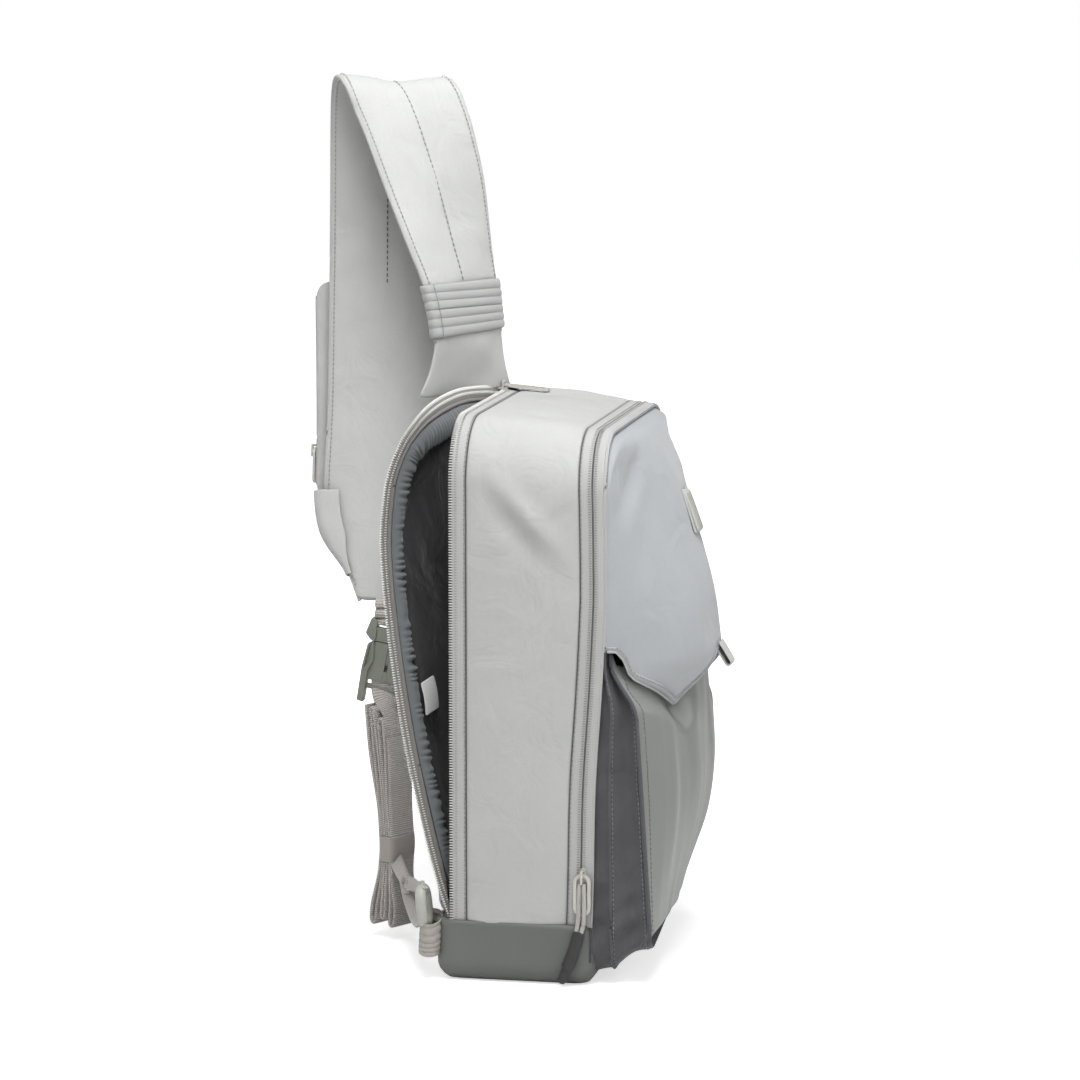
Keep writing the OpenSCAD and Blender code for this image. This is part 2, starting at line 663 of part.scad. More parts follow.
// Webbing strip from beside the bundle to the ring's upper bar.
tail_keys = [[-25, 117, 70], [-44, 110, 58], [-70, 99, 60], [-96, 89, 76], [-112, 84.5, 86]];
module webbing_tail() color(webbing_grey) for (i = [0 : len(tail_keys) - 2]) hull() for (k = [i, i + 1])
    translate(tail_keys[k]) cube([1.4, 2, 18], center = true);

module anchor_ring() color([0.72, 0.74, 0.68]) translate([anchor_at[0], anchor_at[1], 0]) rotate([90, 0, 0])
    linear_extrude(4.5, center = true) difference() {
        hull() for (x = [-10, 10], z = [ring_low + 4, ring_top - 4]) translate([x, z]) circle(4, $fn = 24);
        hull() for (x = [-9, 9], z = [ring_low + 5, ring_top - 5]) translate([x, z]) circle(1.4, $fn = 24);
    }

// Ribbed rubber sleeve round the anchor loop at the bag's lower corner.
anchor_ribs = 4;
sleeve_low = 17;
module anchor_oval(r) hull() for (x = [-8, 8]) translate([x, 0]) circle(r, $fn = 32);
module anchor_sleeve() color(light_tape) translate(anchor_at) {
    translate([0, 0, sleeve_low]) linear_extrude(22) anchor_oval(3.6);
    for (i = [0 : anchor_ribs - 1]) translate([0, 0, sleeve_low + 0.6 + 5.4 * i])
        linear_extrude(4.2) anchor_oval(4.8);
}

// Webbing stub sewn into the base seam, which the sleeve hangs from.
module anchor_loop() color(webbing_grey) translate([anchor_at[0] - 8, base_back_y + gap, 6]) cube([16, 14, 10]);

gusset();
base_panel();
base_board();
laptop_divider();
divider_pad();
care_label();
hinge_gusset();
back_panel();
back_foam();
inner_zip_tape();
inner_zip_coil();
laptop_zip_tape();
laptop_zip_coil();
front_panel();
outer_zip_tape();
outer_zip_coil();
pocket_gusset();
pocket_front();
pocket_hem();
pocket_magnet();
front_hood();
name_plate();
flap();
flap_binding();
flap_magnet();
pull_tab();
main_slider();
main_pull_ring();
main_pull_cord();
main_pull_tip();
laptop_slider();
laptop_pull();
laptop_door();
door_foam();
door_lining();
door_zip_tape();
door_zip_coil();
strap_yoke();
yoke_foam();
strap_cover();
strap_foam();
strap_sleeve();
strap_pocket();
pocket_zip_coil();
pocket_slider();
pocket_pull();
upper_webbing();
buckle_plug();
buckle_arms();
buckle_socket();
webbing_bundle();
webbing_lead();
webbing_keeper();
webbing_tail();
anchor_ring();
anchor_sleeve();
anchor_loop();
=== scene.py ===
import math

import bpy
import numpy as np
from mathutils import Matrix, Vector, noise


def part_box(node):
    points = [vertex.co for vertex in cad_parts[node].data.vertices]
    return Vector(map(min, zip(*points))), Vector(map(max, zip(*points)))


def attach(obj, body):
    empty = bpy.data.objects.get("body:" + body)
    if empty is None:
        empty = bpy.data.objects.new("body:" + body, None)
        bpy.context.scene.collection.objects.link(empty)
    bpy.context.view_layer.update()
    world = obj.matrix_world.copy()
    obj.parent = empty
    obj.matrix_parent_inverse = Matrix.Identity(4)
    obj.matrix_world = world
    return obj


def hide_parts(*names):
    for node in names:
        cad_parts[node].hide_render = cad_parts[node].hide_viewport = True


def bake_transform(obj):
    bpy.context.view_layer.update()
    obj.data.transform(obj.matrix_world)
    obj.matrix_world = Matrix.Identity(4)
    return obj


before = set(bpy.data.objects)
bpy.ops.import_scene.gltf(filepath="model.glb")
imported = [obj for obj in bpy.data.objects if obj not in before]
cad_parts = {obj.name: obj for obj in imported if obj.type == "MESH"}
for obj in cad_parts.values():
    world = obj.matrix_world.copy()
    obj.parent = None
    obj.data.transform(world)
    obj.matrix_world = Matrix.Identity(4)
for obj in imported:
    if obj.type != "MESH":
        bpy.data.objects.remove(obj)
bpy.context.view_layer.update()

MM = 0.001


# ---------- Main dimensions, read from the frame ----------
def corners(node):
    low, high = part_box(node)
    return np.array(low) / MM, np.array(high) / MM


gusset_low, gusset_high = corners("gusset")
base_low, base_high = corners("base_panel")
HALF_W = gusset_high[0]
BASE_H = base_high[2]
FRONT_H = 412.0
BACK_H = 422.0
CORNER_R = 46.0
LEAN_Z = 290.0
LAPTOP_Y = 57.0
ZIP_MID = 8.4
SEAM_IN = 18.2
BACK_Y = 73.0
ZIP_GAP = 0.45


def lerp(a, b, t):
    return a + (b - a) * t


def smooth(t):
    t = np.clip(t, 0, 1)
    return t * t * (3 - 2 * t)


def front_y(z):
    """Front edge of the bag's side, as a function of height."""
    z = np.asarray(z, float)
    low = lerp(-50, -60, np.maximum(0, z - BASE_H) / (LEAN_Z - BASE_H))
    low = low + 2.0 * np.exp(-((z - 150) / 60) ** 2)
    high = -60 + 3 * ((z - LEAN_Z) / (BACK_H - LEAN_Z)) ** 2
    return np.where(z > LEAN_Z, high, low)


def top_z(y):
    return FRONT_H + (BACK_H - FRONT_H) * (np.asarray(y, float) + 57) / 110


def outline(s, y, inset=0.0, z0=BASE_H, r=CORNER_R):
    """Bag's outline in X and Z: s runs 0 to 1 from the near base corner up, over the top and down.
    Returns x, z and the outward normal."""
    s, y = np.broadcast_arrays(np.asarray(s, float), np.asarray(y, float))
    h = top_z(y) - inset
    w = HALF_W - inset
    r = r - inset
    side, top, bend = h - r - z0, 2 * (w - r), math.pi * r / 2
    total = 2 * side + top + 2 * bend
    d = s * total
    marks = [side, side + bend, side + bend + top, side + 2 * bend + top]
    a1 = (d - marks[0]) / r
    a2 = (d - marks[2]) / r
    x = np.select([d < marks[0], d < marks[1], d < marks[2], d < marks[3]],
                  [-w + 0 * d, -w + r - r * np.cos(a1), -w + r + d - marks[1], w - r + r * np.sin(a2)], w)
    z = np.select([d < marks[0], d < marks[1], d < marks[2], d < marks[3]],
                  [z0 + d, h - r + r * np.sin(a1), h, h - r + r * np.cos(a2)], h - r - (d - marks[3]))
    nx = np.select([d < marks[0], d < marks[1], d < marks[2], d < marks[3]],
                   [-1 + 0 * d, -np.cos(a1), 0 * d, np.sin(a2)], 1)
    nz = np.select([d < marks[0], d < marks[1], d < marks[2], d < marks[3]],
                   [0 * d, np.sin(a1), 1 + 0 * d, np.cos(a2)], 0)
    return x, z, nx, nz


def ripple(points, scale, seed=0.0, detail=1):
    """Smooth noise, one value per point, for creases and unevenness."""
    flat = points.reshape(-1, 3) / scale
    values = [noise.fractal(Vector(p) + Vector((seed, seed * 2.3, -seed)), 1.0, 2.0, detail) for p in flat]
    return np.array(values).reshape(points.shape[:-1])


# ---------- Mesh building ----------
def build(name, points, faces, material=None, uvs=None, flat=False):
    """Object from points in millimetres; uvs are one pair a point, in metres of cloth."""
    mesh = bpy.data.meshes.new(name)
    mesh.from_pydata((np.asarray(points, float) * MM).tolist(), [], faces)
    if uvs is not None:
        layer = mesh.uv_layers.new(name="cloth")
        index = np.zeros(len(mesh.loops), int)
        mesh.loops.foreach_get("vertex_index", index)
        layer.data.foreach_set("uv", np.asarray(uvs, float)[index].ravel())
    mesh.polygons.foreach_set("use_smooth", [not flat] * len(mesh.polygons))
    obj = bpy.data.objects.new(name, mesh)
    bpy.context.scene.collection.objects.link(obj)
    if material:
        mesh.materials.append(material)
    return obj


def grid_faces(n, m, close_u=False, close_v=False, first=0):
    us = range(n if close_u else n - 1)
    vs = range(m if close_v else m - 1)
    return [(first + i * m + j, first + i * m + (j + 1) % m, first + (i + 1) % n * m + (j + 1) % m, first + (i + 1) % n * m + j)
            for i in us for j in vs]


def cloth_uv(points):
    """Lengths along both directions of a grid, in metres, so that a weave keeps its size."""
    du = np.linalg.norm(np.diff(points, axis=0), axis=2).mean(1)
    dv = np.linalg.norm(np.diff(points, axis=1), axis=2).mean(0)
    u = np.concatenate([[0], np.cumsum(du)]) * MM
    v = np.concatenate([[0], np.cumsum(dv)]) * MM
    return np.stack(np.meshgrid(u, v, indexing="ij"), -1).reshape(-1, 2)


def grid(name, points, material, close_u=False, close_v=False):
    n, m = points.shape[:2]
    return build(name, points.reshape(-1, 3), grid_faces(n, m, close_u, close_v), material, cloth_uv(points))


def settle(obj):
    """Turns the object's modifiers into its mesh."""
    bpy.context.view_layer.update()
    graph = bpy.context.evaluated_depsgraph_get()
    mesh = bpy.data.meshes.new_from_object(obj.evaluated_get(graph))
    obj.modifiers.clear()
    obj.data = mesh
    return obj


def thicken(obj, thickness, levels=1, offset=-1.0):
    solid = obj.modifiers.new("thickness", "SOLIDIFY")
    solid.thickness = thickness * MM
    solid.offset = offset
    solid.use_even_offset = False
    if levels:
        smoothing = obj.modifiers.new("smooth", "SUBSURF")
        smoothing.levels = smoothing.render_levels = levels
    return settle(obj)


def sheet(name, points, material, thickness=1.6, levels=1, offset=-1.0):
    return thicken(grid(name, points, material), thickness, levels, offset)


def merge(name, parts, material, flat=False):
    """One object from many (points, faces) pairs."""
    points, faces, base = [], [], 0
    for part_points, part_faces in parts:
        points.append(np.asarray(part_points, float))
        faces += [tuple(base + i for i in face) for face in part_faces]
        base += len(part_points)
    return build(name, np.concatenate(points), faces, material, flat=flat)


def unit(v):
    v = np.asarray(v, float)
    return v / np.maximum(np.linalg.norm(v, axis=-1, keepdims=True), 1e-9)


def spline(keys, n):
    """Catmull-Rom curve through rows of numbers, resampled to n rows at equal steps of the parameter."""
    keys = np.asarray(keys, float)
    k = np.vstack([2 * keys[0] - keys[1], keys, 2 * keys[-1] - keys[-2]])
    u = np.linspace(0, len(keys) - 1, n)
    i = np.minimum(u.astype(int), len(keys) - 2)
    t = (u - i)[:, None]
    a, b, c, d = k[i], k[i + 1], k[i + 2], k[i + 3]
    return 0.5 * (2 * b + (c - a) * t + (2 * a - 5 * b + 4 * c - d) * t ** 2 + (3 * b - a - 3 * c + d) * t ** 3)


def resample(path, step=None, count=None):
    """Points at equal distances along a polyline, with the same treatment for any extra columns."""
    path = np.asarray(path, float)
    d = np.concatenate([[0], np.cumsum(np.linalg.norm(np.diff(path[:, :3], axis=0), axis=1))])
    n = count or max(2, int(d[-1] / step) + 1)
    at = np.linspace(0, d[-1], n)
    return np.stack([np.interp(at, d, path[:, c]) for c in range(path.shape[1])], 1)


def ahead(path):
    return unit(np.gradient(path[:, :3], axis=0))


# ---------- Small repeated pieces: stitches, teeth, cords ----------
def pod(centre, along, side, up, length, width, height):
    """Six-sided rounded bar: a stitch or a tooth."""
    parts = []
    for end, grow in ((-0.5, 0.45), (-0.3, 1.0), (0.3, 1.0), (0.5, 0.45)):
        for a in range(6):
            angle = math.pi / 3 * a + math.pi / 6
            parts.append(centre + along * length * end + side * math.cos(angle) * width / 2 * grow
                         + up * math.sin(angle) * height / 2 * grow)
    faces = [(6 * r + a, 6 * r + (a + 1) % 6, 6 * r + 6 + (a + 1) % 6, 6 * r + 6 + a) for r in range(3) for a in range(6)]
    faces += [tuple(range(5, -1, -1)), tuple(range(18, 24))]
    return parts, faces


def stitches(name, path, normals, material, pitch=3.6, length=2.5, width=0.75, lift=0.1):
    """Row of thread stitches along a path that lies on cloth."""
    rows = resample(np.hstack([path, normals]), step=pitch)
    along = ahead(rows)
    parts = []
    for row, a in zip(rows, along):
        up = unit(row[3:])
        parts.append(pod(row[:3] + up * lift, a, unit(np.cross(up, a)), up, length, width, width * 0.8))
    return merge(name, parts, material)


def coil(name, path, normals, across, material, pitch=1.5, reach=2.3, start=0.0, phase=0.0, size=1.0):
    """Row of zip teeth: each tooth lies across the path, from start to start + reach on the across side."""
    rows = resample(np.hstack([path, normals, across]), step=pitch)
    along = ahead(rows)
    parts = []
    for row, a in zip(rows, along):
        up, side = unit(row[3:6]), unit(row[6:9])
        centre = row[:3] + side * (start + reach / 2) + a * pitch * phase
        parts.append(pod(centre, side, a, up, reach, 1.05 * size, 1.5 * size))
    return merge(name, parts, material)


def tube(name, path, radius, material, sides=10, closed=False, squash=1.0, normals=None):
    """Round or flattened cord along a path."""
    path = np.asarray(path, float)
    t = unit(np.roll(path, -1, 0) - np.roll(path, 1, 0)) if closed else ahead(path)
    ref = normals if normals is not None else np.tile([0.0, 0.0, 1.0], (len(path), 1))
    side = np.cross(t, ref)
    weak = np.linalg.norm(side, axis=1) < 0.2
    side[weak] = np.cross(t[weak], [1.0, 0.0, 0.0])
    side = unit(side)
    up = np.cross(side, t)
    radius = np.broadcast_to(radius, (len(path),))
    angles = np.arange(sides) / sides * 2 * math.pi
    rings = path[:, None] + radius[:, None, None] * (side[:, None] * np.cos(angles)[None, :, None]
                                                     + up[:, None] * np.sin(angles)[None, :, None] * squash)
    faces = grid_faces(len(path), sides, close_u=closed, close_v=True)
    if not closed:
        faces += [tuple(range(sides - 1, -1, -1)), tuple(range((len(path) - 1) * sides, len(path) * sides))]
    return build(name, rings.reshape(-1, 3), faces, material, cloth_uv(rings))


# ---------- Materials ----------
def principled(name):
    material = bpy.data.materials.new(name)
    material.use_nodes = True
    tree = material.node_tree
    return material, tree, tree.nodes["Principled BSDF"]


def node(tree, kind, **values):
    made = tree.nodes.new(kind)
    for key, value in values.items():
        if key in made.inputs:
            made.inputs[key].default_value = value
        else:
            setattr(made, key, value)
    return made


def math_node(tree, operation, a, b):
    made = tree.nodes.new("ShaderNodeMath")
    made.operation = operation
    for socket, value in zip(made.inputs, (a, b)):
        if isinstance(value, (int, float)):
            socket.default_value = value
        else:
            tree.links.new(value, socket)
    return made.outputs[0]


def colour_ramp(tree, factor, stops):
    ramp = tree.nodes.new("ShaderNodeValToRGB")
    while len(ramp.color_ramp.elements) < len(stops):
        ramp.color_ramp.elements.new(0.5)
    for element, (place, colour) in zip(ramp.color_ramp.elements, stops):
        element.position = place
        element.color = (*colour, 1)
    tree.links.new(factor, ramp.inputs[0])
    return ramp.outputs[0]


def shade(colour, by):
    return tuple(max(0, min(1, c * by)) for c in colour)


def weave_pattern(tree, pitch, source="cloth"):
    """Height of a plain weave: threads cross every pitch metres."""
    if source == "cloth":
        vector = node(tree, "ShaderNodeUVMap", uv_map="cloth").outputs[0]
    else:
        vector = node(tree, "ShaderNodeTexCoord").outputs["Object"]
    across = node(tree, "ShaderNodeTexWave", Scale=0.314 / pitch, bands_direction="X", wave_profile="SIN")
    along = node(tree, "ShaderNodeTexWave", Scale=0.314 / pitch, bands_direction="Y" if source == "cloth" else "Z", wave_profile="SIN")
    tree.links.new(vector, across.inputs["Vector"])
    tree.links.new(vector, along.inputs["Vector"])
    return math_node(tree, "MULTIPLY", across.outputs["Fac"], along.outputs["Fac"])


def paint_hollow_shade(tree, colour, shader, depth=0.66):
    """Paints shade into a material's colour: its folds, seams and hollows, found by ambient occlusion, are darkened a
    little.
    """
    # painted shade: ambient occlusion multiplied into the base colour
    hollow = node(tree, "ShaderNodeAmbientOcclusion", Distance=0.02)
    hollow.samples = 6
    shadow = colour_ramp(tree, hollow.outputs["AO"], [(0.25, (depth, depth, depth)), (0.9, (1, 1, 1))])
    mixed = node(tree, "ShaderNodeMix", data_type="RGBA", blend_type="MULTIPLY")
    mixed.inputs["Factor"].default_value = 1.0
    tree.links.new(colour, mixed.inputs["A"])
    tree.links.new(shadow, mixed.inputs["B"])
    tree.links.new(mixed.outputs["Result"], shader.inputs["Base Color"])


def fabric(name, colour, pitch=0.0007, bump=0.25, mottle=0.05, roughness=0.85, fleck=0.0, crumple=0.0, source="cloth"):
    """Woven cloth: threads, uneven dye, a few darker flecks, painted shade in folds and seams, and a soft sheen."""
    material, tree, shader = principled(name)
    place = node(tree, "ShaderNodeTexCoord").outputs["Object"]
    threads = weave_pattern(tree, pitch, source)
    cloudy = node(tree, "ShaderNodeTexNoise", Scale=9.0, Detail=4.0, Roughness=0.55)
    speck = node(tree, "ShaderNodeTexNoise", Scale=900.0, Detail=2.0, Roughness=0.6)
    tree.links.new(place, cloudy.inputs["Vector"])
    tree.links.new(place, speck.inputs["Vector"])
    mixed = math_node(tree, "ADD", math_node(tree, "MULTIPLY", cloudy.outputs["Fac"], 0.5),
                      math_node(tree, "MULTIPLY", speck.outputs["Fac"], 0.5))
    tone = colour_ramp(tree, mixed, [(0.3, shade(colour, 1 - mottle - fleck)), (0.5, colour), (0.7, shade(colour, 1 + mottle))])
    dark = node(tree, "ShaderNodeMix", data_type="RGBA", blend_type="MULTIPLY")
    dark.inputs["Factor"].default_value = 1.0
    shadow = colour_ramp(tree, threads, [(0.0, (0.88, 0.88, 0.88)), (0.6, (1, 1, 1))])
    tree.links.new(tone, dark.inputs["A"])
    tree.links.new(shadow, dark.inputs["B"])
    # painted shade: folds and seams darkened through ambient occlusion
    paint_hollow_shade(tree, dark.outputs["Result"], shader)
    rough = math_node(tree, "ADD", math_node(tree, "MULTIPLY", speck.outputs["Fac"], 0.16), roughness - 0.08)
    tree.links.new(rough, shader.inputs["Roughness"])
    height = math_node(tree, "ADD", threads, math_node(tree, "MULTIPLY", speck.outputs["Fac"], 0.5))
    relief = node(tree, "ShaderNodeBump", Strength=bump, Distance=0.0004)
    tree.links.new(height, relief.inputs["Height"])
    creases = node(tree, "ShaderNodeTexNoise", Scale=30.0, Detail=3.0, Roughness=0.5, Distortion=1.0)
    tree.links.new(place, creases.inputs["Vector"])
    fall = node(tree, "ShaderNodeBump", Strength=crumple, Distance=0.005)
    tree.links.new(creases.outputs["Fac"], fall.inputs["Height"])
    tree.links.new(fall.outputs["Normal"], relief.inputs["Normal"])
    tree.links.new(relief.outputs["Normal"], shader.inputs["Normal"])
    shader.inputs["Sheen Weight"].default_value = 0.3
    shader.inputs["Sheen Roughness"].default_value = 0.45
    shader.inputs["Specular IOR Level"].default_value = 0.3
    return material


def webbing_cloth(name, colour, pitch=0.0016):
    """Heavy webbing: raised ribs across its length, the gaps between them darkened with painted shade, and fine threads
    along it.
    """
    material, tree, shader = principled(name)
    cloth = node(tree, "ShaderNodeUVMap", uv_map="cloth").outputs[0]
    place = node(tree, "ShaderNodeTexCoord").outputs["Object"]
    ribs = node(tree, "ShaderNodeTexWave", Scale=0.314 / pitch, bands_direction="X", Distortion=0.4)
    threads = node(tree, "ShaderNodeTexWave", Scale=0.314 / 0.0013, bands_direction="Y")
    speck = node(tree, "ShaderNodeTexNoise", Scale=700.0, Detail=2.0)
    tree.links.new(cloth, ribs.inputs["Vector"])
    tree.links.new(cloth, threads.inputs["Vector"])
    tree.links.new(place, speck.inputs["Vector"])
    both = math_node(tree, "ADD", math_node(tree, "MULTIPLY", ribs.outputs["Fac"], 0.7),
                     math_node(tree, "MULTIPLY", threads.outputs["Fac"], 0.3))
    # painted shade: the gaps between the ribs are darkened to half the colour
    stops = [(0.12, shade(colour, 0.5)), (0.4, shade(colour, 0.95)), (0.8, shade(colour, 1.1))]
    tone = colour_ramp(tree, both, stops)
    dusty = node(tree, "ShaderNodeMix", data_type="RGBA", blend_type="MULTIPLY")
    dusty.inputs["Factor"].default_value = 0.5
    tree.links.new(tone, dusty.inputs["A"])
    tree.links.new(colour_ramp(tree, speck.outputs["Fac"], [(0.3, (0.8, 0.8, 0.8)), (0.6, (1, 1, 1))]), dusty.inputs["B"])
    # painted shade: folds and seams darkened through ambient occlusion
    paint_hollow_shade(tree, dusty.outputs["Result"], shader, 0.85)
    relief = node(tree, "ShaderNodeBump", Strength=0.9, Distance=0.0007)
    tree.links.new(both, relief.inputs["Height"])
    tree.links.new(relief.outputs["Normal"], shader.inputs["Normal"])
    shader.inputs["Roughness"].default_value = 0.8
    shader.inputs["Sheen Weight"].default_value = 0.3
    return material


def coated(name, colour, roughness=0.42, grain=0.3):
    """Rubberised cloth: fine pebbled grain, satin, with slow changes of tone and painted shade in its folds and seams.
    """
    material, tree, shader = principled(name)
    place = node(tree, "ShaderNodeTexCoord").outputs["Object"]
    pebble = node(tree, "ShaderNodeTexVoronoi", Scale=1400.0)
    cloudy = node(tree, "ShaderNodeTexNoise", Scale=7.0, Detail=3.0)
    fine = node(tree, "ShaderNodeTexNoise", Scale=500.0, Detail=3.0)
    for texture in (pebble, cloudy, fine):
        tree.links.new(place, texture.inputs["Vector"])
    tone = colour_ramp(tree, cloudy.outputs["Fac"], [(0.3, shade(colour, 0.93)), (0.7, shade(colour, 1.07))])
    # painted shade: folds and seams darkened through ambient occlusion
    paint_hollow_shade(tree, tone, shader)
    rough = math_node(tree, "ADD", math_node(tree, "MULTIPLY", fine.outputs["Fac"], 0.2), roughness - 0.1)
    tree.links.new(rough, shader.inputs["Roughness"])
    relief = node(tree, "ShaderNodeBump", Strength=grain, Distance=0.0002)
    tree.links.new(pebble.outputs["Distance"], relief.inputs["Height"])
    tree.links.new(relief.outputs["Normal"], shader.inputs["Normal"])
    shader.inputs["Sheen Weight"].default_value = 0.15
    shader.inputs["Coat Weight"].default_value = 0.12
    shader.inputs["Coat Roughness"].default_value = 0.35
    return material


def moulded(name, colour, roughness=0.4, metallic=0.0, edge_highlight=0.06):
    """Moulded or painted part: fine orange-peel grain, and a painted highlight that makes its sharp edges lighter."""
    material, tree, shader = principled(name)
    place = node(tree, "ShaderNodeTexCoord").outputs["Object"]
    grain = node(tree, "ShaderNodeTexNoise", Scale=1200.0, Detail=2.0)
    cloudy = node(tree, "ShaderNodeTexNoise", Scale=60.0, Detail=3.0)
    tree.links.new(place, grain.inputs["Vector"])
    tree.links.new(place, cloudy.inputs["Vector"])
    geometry = node(tree, "ShaderNodeNewGeometry")
    # painted highlight: sharp edges, found by their pointiness, are made lighter than the rest
    edge = colour_ramp(tree, geometry.outputs["Pointiness"], [(0.5, (0, 0, 0)), (0.6, (1, 1, 1))])
    tone = colour_ramp(tree, cloudy.outputs["Fac"], [(0.3, shade(colour, 0.95)), (0.7, shade(colour, 1.04))])
    highlit_edges = node(tree, "ShaderNodeMix", data_type="RGBA", blend_type="MIX")
    highlit_edges.inputs["B"].default_value = (*shade(colour, 1 + edge_highlight * 4), 1)
    tree.links.new(edge, highlit_edges.inputs["Factor"])
    tree.links.new(tone, highlit_edges.inputs["A"])
    tree.links.new(highlit_edges.outputs["Result"], shader.inputs["Base Color"])
    rough = math_node(tree, "ADD", math_node(tree, "MULTIPLY", cloudy.outputs["Fac"], 0.15), roughness - 0.07)
    tree.links.new(rough, shader.inputs["Roughness"])
    relief = node(tree, "ShaderNodeBump", Strength=0.12, Distance=0.0002)
    tree.links.new(grain.outputs["Fac"], relief.inputs["Height"])
    tree.links.new(relief.outputs["Normal"], shader.inputs["Normal"])
    shader.inputs["Metallic"].default_value = metallic
    return material


def srgb(r, g, b):
    """Linear colour from the 0 to 255 values seen on a screen."""
    return tuple(c / 255 / 12.92 if c / 255 <= 0.04045 else ((c / 255 + 0.055) / 1.055) ** 2.4 for c in (r, g, b))


LIGHT = fabric("light cloth", srgb(209, 210, 208), pitch=0.0008, mottle=0.05, crumple=0.4)
SLEEVE = fabric("sleeve cloth", srgb(188, 189, 188), pitch=0.0008)
HOOD = fabric("hood cloth", srgb(192, 195, 198), pitch=0.0008, mottle=0.06, crumple=0.4)
PIPING = fabric("piping", srgb(206, 207, 204), pitch=0.0006)
TAPE = fabric("zip tape", srgb(204, 204, 202), pitch=0.0012, bump=0.5)
# painted shadow: dark cord laid along seams and edges to draw their shadow lines
SEAM_SHADOW = fabric("seam shadow", srgb(112, 112, 113), pitch=0.0008)
THREAD = fabric("thread", srgb(172, 173, 173), pitch=0.0005, source="object")
DARK_THREAD = fabric("dark thread", srgb(108, 110, 110), pitch=0.0005, source="object")
GREY_THREAD = fabric("grey thread", srgb(146, 147, 148), pitch=0.0005, source="object")
TEETH = moulded("zip teeth", srgb(214, 213, 209), roughness=0.5)
MARK = moulded("zip sewing", srgb(150, 150, 148), roughness=0.7)
RIM_TAPE = fabric("door rim tape", srgb(146, 142, 138), pitch=0.0012, bump=0.5)
DARK_COIL = moulded("dark zip teeth", srgb(120, 121, 120), roughness=0.5)
GUSSET = fabric("pocket gusset cloth", srgb(100, 100, 104), pitch=0.0008, mottle=0.08, fleck=0.05, crumple=0.5)
POCKET = coated("pocket coating", srgb(138, 141, 137), roughness=0.34)
BASE = coated("base coating", srgb(110, 113, 110), roughness=0.5)
LINING = fabric("lining", srgb(62, 61, 64), pitch=0.001, mottle=0.08, roughness=0.6, crumple=0.7)
ELASTIC = fabric("gathered elastic", srgb(122, 127, 129), pitch=0.0009, mottle=0.08)
WEBBING = webbing_cloth("webbing", srgb(222, 216, 211))
KEEPER = fabric("keeper", srgb(188, 182, 175), pitch=0.0005, bump=0.2)
LABEL = fabric("label", srgb(235, 235, 233), pitch=0.0005, bump=0.1)
BUCKLE = moulded("buckle plastic", srgb(134, 137, 127), roughness=0.34)
PLATE = moulded("plate plastic", srgb(190, 192, 184), roughness=0.35)
METAL = moulded("painted puller", srgb(196, 193, 186), roughness=0.38, metallic=0.15)
CORD = fabric("pull cord", srgb(206, 203, 196), pitch=0.0009, bump=0.8, source="object")
TIP = moulded("moulded tip", srgb(62, 61, 62), roughness=0.5)
STEEL = moulded("snap metal", srgb(160, 160, 162), roughness=0.3, metallic=0.9)
BOARD = moulded("base board", srgb(52, 52, 54), roughness=0.6)


def finish_piece(obj, body, slot, *nodes):
    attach(obj, body)
    if nodes:
        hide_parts(*nodes)
    return obj


# ---------- Body ----------
def skin_points(s, y_of_z, n_inset=0.0):
    """Points and normals on the bag's skin at path places s, each at the Y that its height asks for."""
    y = np.zeros_like(s)
    for _ in range(3):
        x, z, nx, nz = outline(s, y, n_inset)
        y = y_of_z(z)
    points = np.stack([x, y, z], -1)
    normals = np.stack([nx, 0 * nx, nz], -1)
    return points, normals


def skin_strip(s0, s1, n, low, high, m, puff=0.0, inset=0.0):
    """Grid over the skin between two edges given as Y over Z; puff swells its middle outwards."""
    s = np.linspace(s0, s1, n)
    rows = []
    for t in np.linspace(0, 1, m):
        points, normals = skin_points(s, lambda z, t=t: lerp(low(z), high(z), t), inset)
        rows.append(points + normals * puff * (math.sin(math.pi * t) ** 0.6 if 0 < t < 1 else 0))
    return np.stack(rows, 1)


def seam_in(z):
    return front_y(z) + SEAM_IN


def laptop_seam(z):
    return 0 * z + LAPTOP_Y - 12.6


def side_panel():
    """Padded fabric that runs up one side, over the top and down the other."""
    points = skin_strip(0, 1, 220, seam_in, laptop_seam, 34, puff=3.4)
    s = np.linspace(0, 1, 220)[:, None]
    x, z, nx, nz = outline(s, points[..., 1])
    normal = np.stack([nx, 0 * nx, nz], -1)
    t = np.linspace(0, 1, 34)[None, :]
    edge = np.sin(math.pi * t)[..., None]
    creases = ripple(points * [1, 1, 0.45], 46, 3.1, 2)[..., None] * 2.0
    slant = (points[..., 2] - 352) * 0.71 - (points[..., 1] + 4) * 0.71
    length = (points[..., 2] - 352) * 0.71 + (points[..., 1] + 4) * 0.71
    reach = np.exp(-(length / 40) ** 2) * smooth((np.abs(points[..., 0]) - 90) / 20)
    ridge = np.exp(-(slant / 8) ** 2) - 0.9 * np.exp(-((slant + 16) / 9) ** 2)
    points = points + normal * edge * (creases + (ridge * reach)[..., None] * 3.6)
    panel = sheet("side_panel", points, LIGHT, 2.2, offset=1.0)
    finish_piece(panel, "bag", "light_cloth", "gusset")


# painted shadow: a thin dark cord along a seam, standing in for its shadow line
def seam_shadow_cord(name, low, s0, s1, r, material, body, sink=0.2):
    s = np.linspace(s0, s1, 260)
    points, normals = skin_points(s, low)
    cord = tube(name, points - normals * sink, r, material, sides=8)
    return finish_piece(cord, body, "light_cloth")


